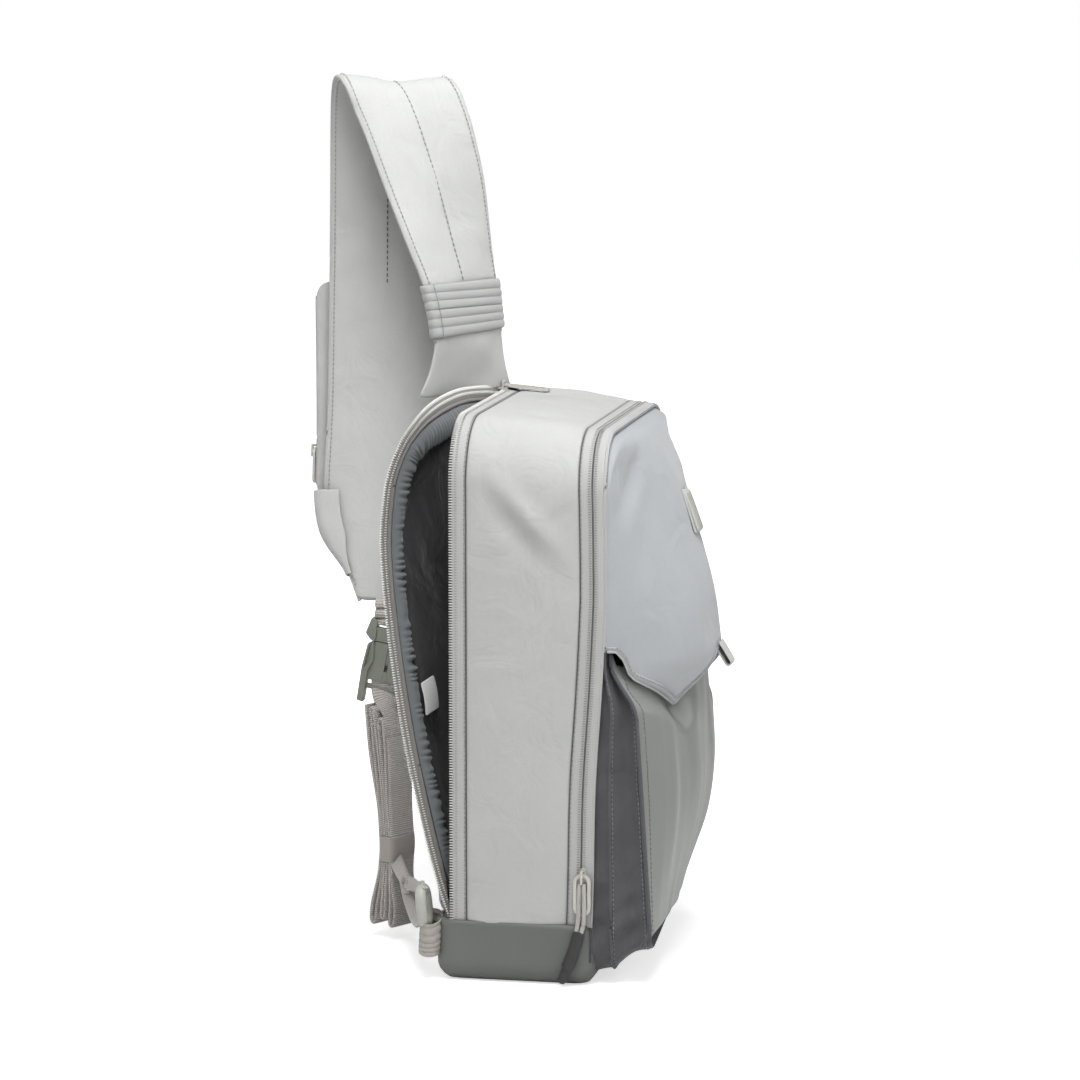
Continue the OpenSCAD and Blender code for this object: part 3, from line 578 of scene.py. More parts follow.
def skin_stitches(name, y_of_z, s0, s1, body, material=THREAD, lift=0.25, slot="light_cloth", pitch=3.6):
    s = np.linspace(s0, s1, 300)
    points, normals = skin_points(s, y_of_z)
    row = stitches(name, points, normals, material, pitch=pitch, lift=lift)
    return finish_piece(row, body, slot)


# painted shadow lines along the front and back seams
def body_seam_shadows():
    seam_shadow_cord("seam_shadow_front", seam_in, 0, 1, 0.42, SEAM_SHADOW, "bag", 0.2)
    seam_shadow_cord("seam_shadow_back", laptop_seam, 0, 1, 0.42, SEAM_SHADOW, "bag", 0.2)


def zip_band(name, path, normals, across, body, cad, side):
    """Marks of the coil's sewing on the tape, and the coil itself, sunk below the tape's edge."""
    marks = coil(f"{name}_marks", path, normals, across * side, MARK, pitch=1.9, start=1.2, reach=2.2, size=0.5)
    finish_piece(marks, body, "tape")
    sunk = path - normals * 1.3
    teeth = coil(f"{name}_teeth", sunk, normals, across * side, DARK_COIL, start=-0.3, reach=2.4, phase=0.25 * side)
    finish_piece(teeth, body, "coil", cad)


def main_zip():
    middle = lambda z: front_y(z) + ZIP_MID
    inner = skin_strip(0, 1, 220, lambda z: middle(z) + ZIP_GAP, lambda z: seam_in(z) - 0.2, 7, puff=0.4)
    outer = skin_strip(0, 1, 220, lambda z: front_y(z) - 0.6, lambda z: middle(z) - ZIP_GAP, 7, puff=0.4)
    finish_piece(sheet("main_zip_inner_tape", inner, TAPE, 1.1, offset=1.0), "bag", "tape", "inner_zip_tape")
    finish_piece(sheet("main_zip_outer_tape", outer, TAPE, 1.1, offset=1.0), "front_door", "tape", "outer_zip_tape")
    points, normals = skin_points(np.linspace(0, 1, 500), middle)
    across = np.tile([0.0, 1.0, 0.0], (len(points), 1))
    points = points + normals * 0.3
    zip_band("main_zip_inner", points, normals, across, "bag", "inner_zip_coil", 1)
    zip_band("main_zip_outer", points, normals, across, "front_door", "outer_zip_coil", -1)
    skin_stitches("main_zip_stitch_bag", lambda z: front_y(z) + SEAM_IN - 0.9, 0, 1, "bag", THREAD, lift=0.6, slot="tape")
    edge, out = skin_points(np.linspace(0, 1, 300), lambda z: front_y(z) - 0.5)
    fold = tube("main_zip_tape_fold", edge - out * 0.3, 0.8, TAPE, sides=8)
    finish_piece(fold, "front_door", "tape")


def base_point(u, z):
    """Rounded rectangle round the base at height z; u is 0 to 1 round it."""
    tuck = 14 * (1 - np.sqrt(np.clip(1 - ((14 - np.minimum(z, 14)) / 14) ** 2, 0, 1)))
    half = HALF_W - tuck
    front, back = -50 + tuck * 0.8, 66 - tuck
    r = 9.0
    corner = [(half - r, front + r, -90), (half - r, back - r, 0), (-half + r, back - r, 90), (-half + r, front + r, 180)]
    path = []
    for cx, cy, a0 in corner:
        for a in np.linspace(a0, a0 + 90, 7):
            path.append((cx + r * math.cos(math.radians(a)), cy + r * math.sin(math.radians(a)), z))
    path.append(path[0])
    return resample(np.array(path), count=len(u))


def base():
    u = np.linspace(0, 1, 180)
    heights = [0.3, 0.6, 1.6, 3.2, 5.5, 8.5, 12, 16, 22, 29, 36, 41, BASE_H + 1.5]
    rings = np.stack([base_point(u, h) for h in heights], 1)
    centre = rings.mean((0, 1)) * [1, 1, 0]
    rings[:, 1:-1] += unit((rings[:, 1:-1] - centre) * [0.25, 1, 0]) * ripple(rings[:, 1:-1], 60, 5.5)[..., None] * 0.7
    floor = [lerp(centre + [0, 0, 0.3], rings[:, :1], k) for k in (0.0, 0.5)]
    full = np.concatenate([floor[0], floor[1], rings], 1)
    full[..., 2] = np.maximum(full[..., 2], 2.5)
    shell = grid("base_shell", full, BASE)
    finish_piece(thicken(shell, 2.4, 0), "bag", "coated_cloth", "base_panel")
    seam = base_point(np.linspace(0, 1, 400), BASE_H - 3.0)
    normal = unit((seam - centre) * [0.3, 1, 0])
    normal = np.where(np.abs(seam[:, :1]) > HALF_W - 4, np.sign(seam[:, :1]) * [1.0, 0, 0], np.sign(seam[:, 1:2]) * [0, 1.0, 0])
    finish_piece(stitches("base_topstitch", seam, normal, GREY_THREAD, lift=0.3), "bag", "coated_cloth")
    # painted shadow: dark cord along the seam at the top of the base
    edge = base_point(np.linspace(0, 1, 300), BASE_H + 1.0)
    finish_piece(tube("base_seam_shadow", edge, 1.0, SEAM_SHADOW, sides=8), "bag", "coated_cloth")


# ---------- Hood, flap and pocket ----------
TIP_X, TIP_Z = 60.0, 203.0
NOTCH_Z = 238.0


def hood_y(x, z):
    """Dome of the hood: Y over X and Z. It has a soft ridge up its middle, and below the notch the
    flap bends in over the pocket."""
    rise = np.clip((FRONT_H + 3 - z) / 174, 0, 1) ** 0.52
    reach = HALF_W + 0.6
    off = (np.sqrt(np.square(x) + 24 ** 2) - 24) / (math.sqrt(reach ** 2 + 24 ** 2) - 24)
    power = lerp(1.25, 0.8, smooth((z - 240) / 110))
    across = np.maximum(0, 1 - off ** lerp(power, 1.0, smooth((z - 370) / 40))) ** 0.6
    tuck = 1 - 0.2 * smooth((236 - z) / 36)
    return front_y(z) - 0.8 - 67 * rise * across * tuck


def flap_edge(x):
    """Lower edge of the flap over X."""
    keys_x = [0, 4, TIP_X - 2, TIP_X + 2, 106, 116, 120, 123, 127, HALF_W]
    keys_z = [NOTCH_Z, NOTCH_Z - 2, TIP_Z + 0.6, TIP_Z + 0.6, 225, 231, 236, 246, 253, 253.5]
    return np.interp(np.abs(x), keys_x, keys_z)


def hood_grid(n, rows, top=FRONT_H - 0.6):
    turn = np.linspace(-1, 1, n) * math.pi / 2 * 0.97
    x = (HALF_W - 0.2) * np.sin(turn) / math.sin(math.pi / 2 * 0.97)
    corner = np.clip((np.abs(x) - (HALF_W - CORNER_R)) / CORNER_R, 0, 1)
    high = top - CORNER_R * (1 - np.sqrt(1 - corner ** 2))
    share = np.linspace(0, 1, rows)[None, :]
    z = lerp(flap_edge(x)[:, None], high[:, None], 1 - (1 - share) ** 1.25)
    xx = np.repeat(x[:, None], rows, 1)
    y = hood_y(xx, z)
    rim = smooth((np.abs(xx) - 125) / 5)
    y = lerp(y + 2.6 * rim * smooth((z - 252) / 4), front_y(z) + 1.8, smooth(1 - (high[:, None] - z) / 8))
    return np.stack([xx, y, z], -1)


def hood_and_flap():
    points = hood_grid(150, 84)
    soft = ripple(points * [1, 1, 0.6], 62, 8.2, 2)
    hold = np.clip((HALF_W - np.abs(points[..., 0])) / 22, 0, 1)
    hold = hold * np.clip((FRONT_H - 4 - points[..., 2]) / 22, 0, 1)
    low = 1 - smooth((248 - points[..., 2]) / 30)
    points[..., 1] += soft * hold * 4.2 * (0.2 + 0.8 * low)
    slant = (points[..., 2] - 372) * 0.8 + (np.abs(points[..., 0]) - 92) * 0.6
    along = (points[..., 2] - 372) * 0.6 - (np.abs(points[..., 0]) - 92) * 0.8
    reach = np.exp(-(along / 34) ** 2) * hold
    points[..., 1] += (2.6 * np.exp(-(slant / 8) ** 2) - 1.8 * np.exp(-((slant + 15) / 9) ** 2)) * reach
    hood = sheet("hood_and_flap", points, HOOD, 1.8, levels=1, offset=1.0)
    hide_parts("front_hood", "flap")
    edge_row = points[:, 0]
    binding = tube("flap_edge_binding", edge_row + [0, 0.4, 0], 1.0, PIPING, sides=8)
    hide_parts("flap_binding")
    near, far = points[:, 1], points[:, 2]
    band = np.stack([edge_row + [0, -0.8, 0.2], near + [0, -0.9, 0], far + [0, -0.5, 0]], 1)
    facing = sheet("flap_edge_facing", band, HOOD, 0.6, levels=0, offset=1.0)
    lift = np.tile([0.0, -1.0, 0.0], (len(edge_row), 1))
    seam = stitches("flap_edge_stitch", lerp(edge_row, far, 0.72) + [0, -0.9, 0], lift, THREAD, lift=0.4)
    for piece in (hood, binding, facing, seam):
        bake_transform(piece)
    rim, out = skin_points(np.linspace(0.218, 0.782, 200), lambda z: front_y(z) - 1.2)
    finish_piece(tube("hood_rim", rim - out * 1.4, 1.4, HOOD, sides=8), "front_door", "hood_cloth")
    # painted shadow: dark cord where the hood meets the zip tape at the top
    seam, out = skin_points(np.linspace(0.35, 0.65, 120), lambda z: front_y(z) - 1.9)
    finish_piece(tube("hood_seam_shadow", seam - out * 0.9, 0.6, SEAM_SHADOW, sides=8), "front_door", "hood_cloth")


def name_plate():
    """Small blank plate on a cloth backing, lying on the hood's crown."""
    z = np.linspace(325, 359, 12)
    x = np.linspace(-12, 12, 10)
    xx, zz = np.meshgrid(x, z, indexing="ij")
    face = hood_y(xx, zz)
    round_edge = 1 - np.clip(np.abs(xx) / 12, 0, 1) ** 6
    patch = np.stack([xx, face - 1.4 - 0.4 * round_edge, zz], -1)
    finish_piece(sheet("name_plate_backing", patch[::-1], PIPING, 1.4, levels=1), "front_door", "hood_cloth")
    inner = np.stack([xx * 0.86, face - 3.4 - 0.5 * round_edge, 342 + (zz - 342) * 0.88], -1)
    finish_piece(sheet("name_plate_face", inner[::-1], PLATE, 2.0, levels=1), "front_door", "plate", "name_plate")


def pull_tab():
    """Folded fabric tab sewn under the flap's notch."""
    start = np.array([float(hood_y(0, NOTCH_Z + 4)) - 0.5, NOTCH_Z + 4])
    way = unit(np.array([-0.62, -1.0]))
    side = np.array([way[1], -way[0]]) * -1
    bend = np.linspace(0, math.pi, 9)
    out = [start + way * t for t in np.linspace(0, 17, 9)]
    turn = [start + way * (17 + 2.2 * math.sin(a)) + side * (2.2 - 2.2 * math.cos(a)) for a in bend]
    back = [start + way * t + side * 4.4 for t in np.linspace(16, 2, 8)]
    line = np.array(out + turn + back)
    x = np.linspace(-9, 9, 9)
    points = np.stack(np.broadcast_arrays(x[None, :], line[:, :1], line[:, 1:]), -1)
    finish_piece(sheet("flap_pull_tab", points, PIPING, 1.3, offset=0.0), "flap", "hood_cloth", "pull_tab")


def front_sheet():
    """Front panel behind the hood and the pocket."""
    s = np.linspace(0, 1, 120)
    x, z, _, _ = outline(s, -57 + 0 * s, 0.4, z0=13)
    rim = np.stack([x, front_y(z) + 0.2, z], -1)
    centre = np.stack([x * 0.0, front_y(z) + 0.2, lerp(z, 210.0, 0.8)], -1)
    points = np.stack([lerp(rim, centre, k) for k in np.linspace(0, 1, 14)], 1)
    points[..., 1] = front_y(points[..., 2]) - 0.4
    panel = sheet("front_sheet", points, GUSSET, 1.6)
    finish_piece(panel, "front_door", "pocket_cloth", "front_panel")


POCKET_TOP, POCKET_LOW = 241.0, 34.0


POCKET_HALF = 123.0


def pocket_edge(z, x=-1.0):
    """Y of the pocket's side edges; the far one is pressed in a little near the floor."""
    straight = lerp(-95, -81, np.clip((z - POCKET_LOW) / (POCKET_TOP - POCKET_LOW), 0, 1))
    press = 15 * smooth((112 - z) / 80) * smooth((x + 60) / 160)
    pinch = 17 * smooth((z - 203) / 42) * smooth((np.abs(x) - 55) / 60)
    return straight + press + pinch


def pocket_y(x, z):
    """Front of the pocket: bulges in the middle, tucks in at its foot and is held down by the flap."""
    across = np.maximum(0, 1 - (np.abs(x) / POCKET_HALF) ** 2.4) ** 0.8
    out = pocket_edge(z, x) - 30 * smooth((z - POCKET_LOW + 28) / 150) * across
    hem = flap_edge(x)
    under = hood_y(x, np.maximum(z, hem)) + 3.6
    return lerp(out, np.maximum(out, under), smooth((z - hem + 24) / 24))


def pocket():
    x = POCKET_HALF * np.sin(np.linspace(-1, 1, 110) * math.pi / 2)
    top = np.maximum(POCKET_TOP, flap_edge(x) + 6)[:, None]
    zz = lerp(POCKET_LOW - 4, top, np.linspace(0, 1, 68)[None, :])
    xx = np.repeat(x[:, None], 68, 1)
    foot = smooth((POCKET_LOW + 9 - zz) / 13)
    points = np.stack([xx, pocket_y(xx, zz) + 7 * foot, zz], -1)
    sag = ripple(points * [1.7, 1, 0.22], 52, 11.0, 2)
    hold = np.clip((POCKET_HALF - np.abs(xx)) / 18, 0, 1) * smooth((226 - zz) / 40)
    points[..., 1] += sag * hold * 3.4
    panel = sheet("pocket_panel", points, POCKET, 1.8, offset=1.0)
    finish_piece(panel, "front_door", "pocket_coat", "pocket_front", "pocket_hem")
    for side, xs in (("near", -1), ("far", 1)):
        edge = points[0 if xs < 0 else -1]
        cord = tube(f"pocket_edge_{side}", edge + [xs * 0.8, 0.6, 0], 1.5, GUSSET, sides=10)
        finish_piece(cord, "front_door", "pocket_cloth")
        inner = points[9 if xs < 0 else -10]
        normal = np.tile([xs * 0.6, -1.0, 0], (len(inner), 1))
        row = stitches(f"pocket_edge_stitch_{side}", inner, normal, GREY_THREAD, lift=0.3)
        finish_piece(row, "front_door", "pocket_coat")


def gusset_section(side, z_edge, turn):
    """Accordion fold from the bag out to the pocket's edge. turn 0 is the upright side, 1 the bottom."""
    angle = turn * math.pi / 2
    front = float(front_y(max(z_edge, 14)))
    edge = float(pocket_edge(max(z_edge, POCKET_LOW), side * POCKET_HALF))
    out = np.array([0.0, 0.1, 0.2, 0.3, 0.34, 0.38, 0.46, 0.56, 0.68, 0.8, 0.9, 1.0])
    depth = np.array([1.0, 2.2, 2.4, 1.2, 0.0, 1.4, 4.5, 8.5, 11.5, 9.5, 6.5, 5.5])
    x = side * (HALF_W - 1.0 - 18 * (1 - math.cos(angle)))
    rise = np.interp(out, [0, 0.34, 1.0], [0, 3, 18]) * math.sin(angle)
    wall_x = x - side * depth * math.cos(angle)
    return np.stack([wall_x, lerp(front, edge, out), z_edge + depth * math.sin(angle) * 0.5 + rise], -1)


def pocket_gusset():
    heights = np.linspace(257, 34, 64)
    path = [(-1, z, 0.0) for z in heights]
    turns = np.linspace(0, 1, 14)[1:]
    path += [(-1, 34 - 26 * math.sin(t * math.pi / 2), t) for t in turns]
    path += [(1, 34 - 26 * math.sin(t * math.pi / 2), t) for t in turns[::-1]]
    path += [(1, z, 0.0) for z in heights[::-1]]
    points = np.stack([gusset_section(*p) for p in path])
    crease = ripple(points * [1, 1, 0.7], 26, 2.0, 3)[..., None]
    points = points + crease * [2.6, 0.9, 0.8]
    low = np.exp(-((points[..., 2] - 42) / 26) ** 2)
    points[..., 0] += low * 1.6 * np.sin(points[..., 2] / 3.6 + points[..., 1] / 5) * np.sign(-points[..., 0])
    held = np.maximum(points[..., 1], hood_y(points[..., 0], points[..., 2]) + 2.4)
    near_hem = smooth((points[..., 2] - flap_edge(points[..., 0]) + 6) / 6)
    points[..., 1] = lerp(points[..., 1], held, near_hem)
    wall = sheet("pocket_gusset_cloth", points, GUSSET, 1.4, offset=1.0)
    finish_piece(wall, "front_door", "pocket_cloth", "pocket_gusset")
    outward = np.stack([np.sign(points[:, 4, 0]), 0 * points[:, 4, 0], 0 * points[:, 4, 0]], 1)
    cord = tube("pocket_gusset_crest", points[:, 4] + outward * 0.2, 0.9, GUSSET, sides=8)
    finish_piece(cord, "front_door", "pocket_cloth")
    for place, label in ((5, "crest"), (10, "edge")):
        row = points[:, place] + outward * 0.5
        finish_piece(stitches(f"pocket_gusset_stitch_{label}", row, outward, GREY_THREAD), "front_door", "pocket_cloth")


# ---------- Laptop compartment, back and door ----------
# Teeth of the open laptop door, from the base up and over to the slider
DOOR_EDGE = [(-128, 58, 47), (-130, 67, 74), (-131, 77.5, 114), (-131, 92, 182), (-131, 103, 257), (-130, 109, 322),
             (-129, 107, 362), (-126, 103, 384), (-118, 96, 404), (-104, 90, 416), (-80, 86, 424), (-40, 83, 428),
             (5, 78, 429), (42, 69, 427), (62, 62, 424.5), (74, 58, 422.5)]
FOLD_LOW = np.array([-128.0, 76.0, 30.0])
FOLD_HIGH = np.array([78.0, 58.0, 421.0])
FOLD_X, FOLD_Z = unit((FOLD_HIGH - FOLD_LOW) * [1, 0, 1])[[0, 2]]
DOOR_TAPE = 10.0
PAD = 16.0


def from_fold(x, z):
    """Distance from the door's fold line, positive on the door's side."""
    return -(x - FOLD_LOW[0]) * FOLD_Z + (z - FOLD_LOW[2]) * FOLD_X


def along_fold(x, z):
    return x * FOLD_X + z * FOLD_Z


def door_path(n):
    return resample(spline(DOOR_EDGE, 300), count=n)


DOOR = door_path(400)
DOOR_ALONG = along_fold(DOOR[:, 0], DOOR[:, 2])
DOOR_SLOPE = (DOOR[:, 1] - LAPTOP_Y) / np.maximum(from_fold(DOOR[:, 0], DOOR[:, 2]), 22)


def door_y(x, z):
    """Inner plane of the back: flat on the fixed side of the fold, leaning out on the door's side."""
    away = from_fold(x, z)
    slope = np.interp(along_fold(x, z), DOOR_ALONG, DOOR_SLOPE)
    return LAPTOP_Y + slope * np.where(away > 0, away ** 2 / (away + 6), 0)


def rim_frame(path):
    """Directions at the door's edge: along it, and inwards in the door's plane."""
    t = ahead(path)
    inward = unit(np.stack([-t[:, 2], 0 * t[:, 0], t[:, 0]], 1))
    inward = inward * np.sign((np.array([0, 0, 225.0]) - path)[:, [0, 2]][:, 0:1] * inward[:, :1]
                              + (225.0 - path[:, 2:3]) * inward[:, 2:3])
    target = path + inward * 30
    drop = (door_y(target[:, 0], target[:, 2]) - path[:, 1]) / 30
    return t, unit(inward + np.array([0, 1, 0]) * drop[:, None])


def back_outline(n=900):
    """Back's outline in X and Z, split where it starts and ends along the fold's direction."""
    x, z, _, _ = outline(np.linspace(0, 1, n), LAPTOP_Y + np.zeros(n), 0.0, 46.5)
    over = np.stack([x, z], 1)
    q = along_fold(over[:, 0], over[:, 1])
    top = int(np.argmax(q))
    low = np.stack([np.linspace(HALF_W, -HALF_W, 60), np.full(60, 46.5)], 1)
    second = np.concatenate([over[top:], low])[::-1]
    return over[:top + 1], second


def back_rows(start_in, n=190, m=72, spread=1.0):
    """Points in X and Z along lines that run square to the fold, from the door's edge to the fixed seam."""
    first, second = back_outline()
    q = np.linspace(along_fold(*first[0]) + 0.6, along_fold(*first[-1]) - 0.35, n)
    q1, q2 = along_fold(first[:, 0], first[:, 1]), along_fold(second[:, 0], second[:, 1])
    near = np.stack([np.interp(q, q1, first[:, c]) for c in (0, 1)], 1)
    far = np.stack([np.interp(q, q2, second[:, c]) for c in (0, 1)], 1)
    t, inward = rim_frame(DOOR)
    seam = DOOR + inward * start_in
    edge = np.stack([np.interp(q, along_fold(seam[:, 0], seam[:, 2]), seam[:, c]) for c in (0, 2)], 1)
    share = smooth((DOOR_ALONG[-1] - 2 - q) / 16)[:, None]
    near = lerp(near, edge, share)
    t = (0.5 - 0.5 * np.cos(np.linspace(0, math.pi, m))) ** spread
    return near[:, None] + (far - near)[:, None] * t[None, :, None], near, far, share[:, 0]


def back_and_door():
    """Back of the bag: one sheet over the fixed back and the open door, rounded at its seams."""
    xz, near, far, share = back_rows(DOOR_TAPE)
    x, z = xz[..., 0], xz[..., 1]
    from_near = np.linalg.norm(xz - near[:, None], axis=2)
    from_far = np.linalg.norm(xz - far[:, None], axis=2)
    soft_edge = 1.5 + np.minimum(PAD - 1.5, 0.42 * from_near)
    round_near = 5 + 11 * np.sqrt(np.clip(1 - (1 - np.clip(from_near / 11, 0, 1)) ** 2, 0, 1))
    rise = lerp(round_near, soft_edge, share[:, None])
    round_far = 4 + 12 * np.sqrt(np.clip(1 - (1 - np.clip(from_far / 12, 0, 1)) ** 2, 0, 1))
    plump = 5 * np.exp(-((from_fold(x, z) + 70) / 80) ** 2) * np.clip(from_far / 60, 0, 1)
    points = np.stack([x, door_y(x, z) + np.minimum(rise, round_far) + plump, z], -1)
    hold = np.clip(np.minimum(from_near, from_far) / 25, 0, 1)
    points[..., 1] += ripple(points * [1, 0.2, 0.8], 80, 14.0, 2) * 2.2 * hold
    points[..., 0] = np.clip(points[..., 0], -HALF_W - 1, HALF_W)
    outer = sheet("back_and_door", points, LIGHT, 1.8, offset=-1.0)
    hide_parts("back_panel", "back_foam", "laptop_door", "door_foam")
    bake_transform(outer)
    back_seams(points, share)
    inner_xz = back_rows(DOOR_TAPE)[0]
    x, z = inner_xz[..., 0], inner_xz[..., 1]
    lining = np.stack([x, door_y(x, z) + 1.0 + 2.5 * np.clip(from_near / 30, 0, 1), z], -1)
    lining[..., 1] += ripple(lining * [1, 0, 0.6], 48, 17.0, 2) * 4.5 * hold
    inner = sheet("back_lining", lining, LINING, 1.0, offset=1.0)
    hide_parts("door_lining")
    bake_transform(inner)


def back_seams(points, share):
    """Piping and stitches round the fixed edge of the back."""
    fixed = np.concatenate([points[share < 0.02, 0], points[::-1, -1]])
    keep = fixed[:, 2] > 47.5
    fixed = resample(fixed[keep], step=2.0)
    piping = tube("back_piping", fixed + [0, -0.5, 0], 1.8, PIPING, sides=10)
    row = resample(points[::-1, -6], step=2.0)
    seam = stitches("back_stitch", row, np.tile([0.2, 1.0, 0.0], (len(row), 1)), THREAD, lift=0.4)
    for piece in (piping, seam):
        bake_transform(piece)


def far_gusset():
    """Cloth round the fixed side of the laptop compartment, between the side panel and the back."""
    s_first = 0.5 + 0.5 * 74 / 487
    points = skin_strip(s_first, 1, 120, laptop_seam, lambda z: 0 * z + LAPTOP_Y + 5.5, 14, puff=2.2)
    wall = sheet("far_gusset", points, LIGHT, 2.0, offset=1.0)
    finish_piece(wall, "bag", "light_cloth", "hinge_gusset")
    backing = skin_strip(s_first, 1, 120, lambda z: 0 * z + LAPTOP_Y - 3, lambda z: 0 * z + LAPTOP_Y + 9.5, 6, inset=3.0)
    finish_piece(sheet("far_gusset_facing", backing, LIGHT, 1.5, levels=0, offset=1.0), "bag", "light_cloth")
    heel = np.stack([np.linspace(HALF_W - 2, -HALF_W + 4, 60)] * 2, 1)
    low = np.stack([heel, np.broadcast_to([58.0, 66.0], heel.shape), np.broadcast_to([46.5, 46.5], heel.shape)], -1)
    finish_piece(sheet("back_foot", low, LIGHT, 1.5, levels=0), "bag", "light_cloth")


def across_fold(piece):
    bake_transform(piece)


def door_rim():
    """Zip tape and teeth along the open door's edge, and the binding sewn inside them."""
    path = resample(DOOR, count=360)
    t, inward = rim_frame(path)
    face = unit(np.cross(t, inward))
    face = face * np.sign(-face[:, 1:2])
    ends = np.minimum(np.linspace(0, 22, len(path)), np.linspace(22, 0, len(path)))
    taper = np.minimum(1, ends)[:, None]
    across = np.linspace(0.8, DOOR_TAPE + 1, 7)
    strip = np.stack([path + inward * (k * taper) + face * 1.2 * math.sin(k / 10 * 3) for k in across], 1)
    tape = sheet("laptop_zip_tape_door", strip, RIM_TAPE, 1.1, offset=0.0)
    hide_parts("door_zip_tape")
    across_fold(tape)
    teeth = coil("laptop_zip_teeth_door", path + face * 0.4, face, inward, TEETH, pitch=1.9, start=-1.0, reach=3.2, size=1.1)
    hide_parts("door_zip_coil")
    across_fold(teeth)
    for sign, label in ((1, "inner"), (-1, "outer")):
        line = path + face * sign * 1.5
        marks = coil(f"laptop_zip_marks_door_{label}", line, face * sign, inward, TEETH, pitch=1.9, start=3.2, reach=2.6, size=0.8)
        across_fold(marks)
    binding = tube("door_binding", path + inward * (DOOR_TAPE * taper) + face * 0.2, 1.9, RIM_TAPE, sides=8)
    across_fold(binding)
    row = stitches("door_stitch_seam", path + inward * ((DOOR_TAPE + 5) * taper) - face * 4.6, -face, THREAD, lift=0.3)
    across_fold(row)


def elastic_edge():
    """Gathered band just inside the door's rim: uneven folds that deepen towards its free edge."""
    path = resample(DOOR, step=0.9)[24:-8]
    t, inward = rim_frame(path)
    face = unit(np.cross(t, inward))
    face = face * np.sign(-face[:, 1:2])
    walk = np.arange(len(path)) * 0.9
    drift = ripple(np.stack([walk, 0 * walk, 0 * walk], 1), 17, 41.0, 2) * 9
    wave = np.sin(walk * 2 * math.pi / 5.8 + drift)
    size = 0.75 + 1.5 * ripple(np.stack([walk, 0 * walk, 0 * walk], 1), 23, 43.0, 1)
    size = np.clip(size, 0.15, 1.6)
    reach = 12.5 + 5.0 * smooth((path[:, 2] - 330) / 60)
    cols = []
    for k in np.linspace(0, 1, 16):
        bulge = math.sin(math.pi * min(1, k * 0.88 + 0.04)) ** 0.8
        ruffle = wave * size * k ** 0.7
        depth = DOOR_TAPE + 2.2 + reach * k + ruffle * 1.5 * k
        lift = 0.2 + 3.6 * bulge + 1.3 * ruffle * bulge
        cols.append(path + inward * depth[:, None] + face * lift[:, None])
    band = sheet("elastic_edge", np.stack(cols, 1), ELASTIC, 0.9, levels=1, offset=0.0)
    across_fold(band)


def laptop_zip_body():
    """Tape and teeth of the laptop zip on the bag's side: the teeth stand out past the tape's edge."""
    s_end = 0.5 + 0.5 * 70 / 487
    edge = lambda z: 0 * z + LAPTOP_Y - 1.8
    tape = skin_strip(0, s_end, 200, lambda z: laptop_seam(z) + 0.2, edge, 7, puff=0.5)
    strip = sheet("laptop_zip_tape_body", tape, TAPE, 1.1, offset=1.0)
    finish_piece(strip, "bag", "tape", "laptop_zip_tape")
    points, normals = skin_points(np.linspace(0, s_end, 400), edge)
    across = np.tile([0.0, 1.0, 0.0], (len(points), 1))
    row = coil("laptop_zip_teeth_body", points, normals, across, TEETH, pitch=2.0, start=-1.2, reach=3.4, size=1.15)
    finish_piece(row, "bag", "coil", "laptop_zip_coil")
    marks = coil("laptop_zip_marks_body", points + normals * 0.4, normals, -across, MARK, pitch=2.0, start=2.4, reach=1.8, size=0.5)
    finish_piece(marks, "bag", "tape")
    skin_stitches("laptop_zip_stitch", lambda z: laptop_seam(z) + 1.0, 0, s_end, "bag", THREAD, lift=0.6, slot="tape")


def inside_lining():
    """Dark lining of the body seen through the laptop opening."""
    wall = skin_strip(0, 1, 160, lambda z: front_y(z) + 18, lambda z: 0 * z + LAPTOP_Y - 3.5, 10, inset=3.4)
    finish_piece(sheet("inside_lining", wall, LINING, 0.8, levels=0, offset=1.0), "bag", "lining", "laptop_divider")
    x = np.linspace(-HALF_W + 5, HALF_W - 5, 40)
    z = np.linspace(6, BACK_H - 10, 50)
    xx, zz = np.meshgrid(x, z, indexing="ij")
    corner = np.clip((np.abs(xx) - (HALF_W - CORNER_R)) / CORNER_R, 0, 1)
    zz = np.minimum(zz, BACK_H - 8 - CORNER_R * (1 - np.sqrt(1 - corner ** 2)))
    points = np.stack([xx, 35 + 2.0 * ripple(np.stack([xx, 0 * xx, zz], -1), 60, 21.0), zz], -1)
    finish_piece(sheet("divider_cloth", points[::-1], LINING, 4.0, levels=0), "bag", "lining", "divider_pad")


def care_label():
    """Blank label sewn to the lining near the door's edge."""
    xx, zz = np.meshgrid(np.linspace(-113, -97, 8), np.linspace(197, 222, 8), indexing="ij")
    yy = door_y(xx, zz) - 5.0 - 1.2 * np.sin((zz - 196) / 9)
    points = np.stack([xx, yy, zz + (xx + 112) * 0.25], -1)
    finish_piece(sheet("care_label_cloth", points, LABEL, 0.5), "laptop_door", "label", "care_label")


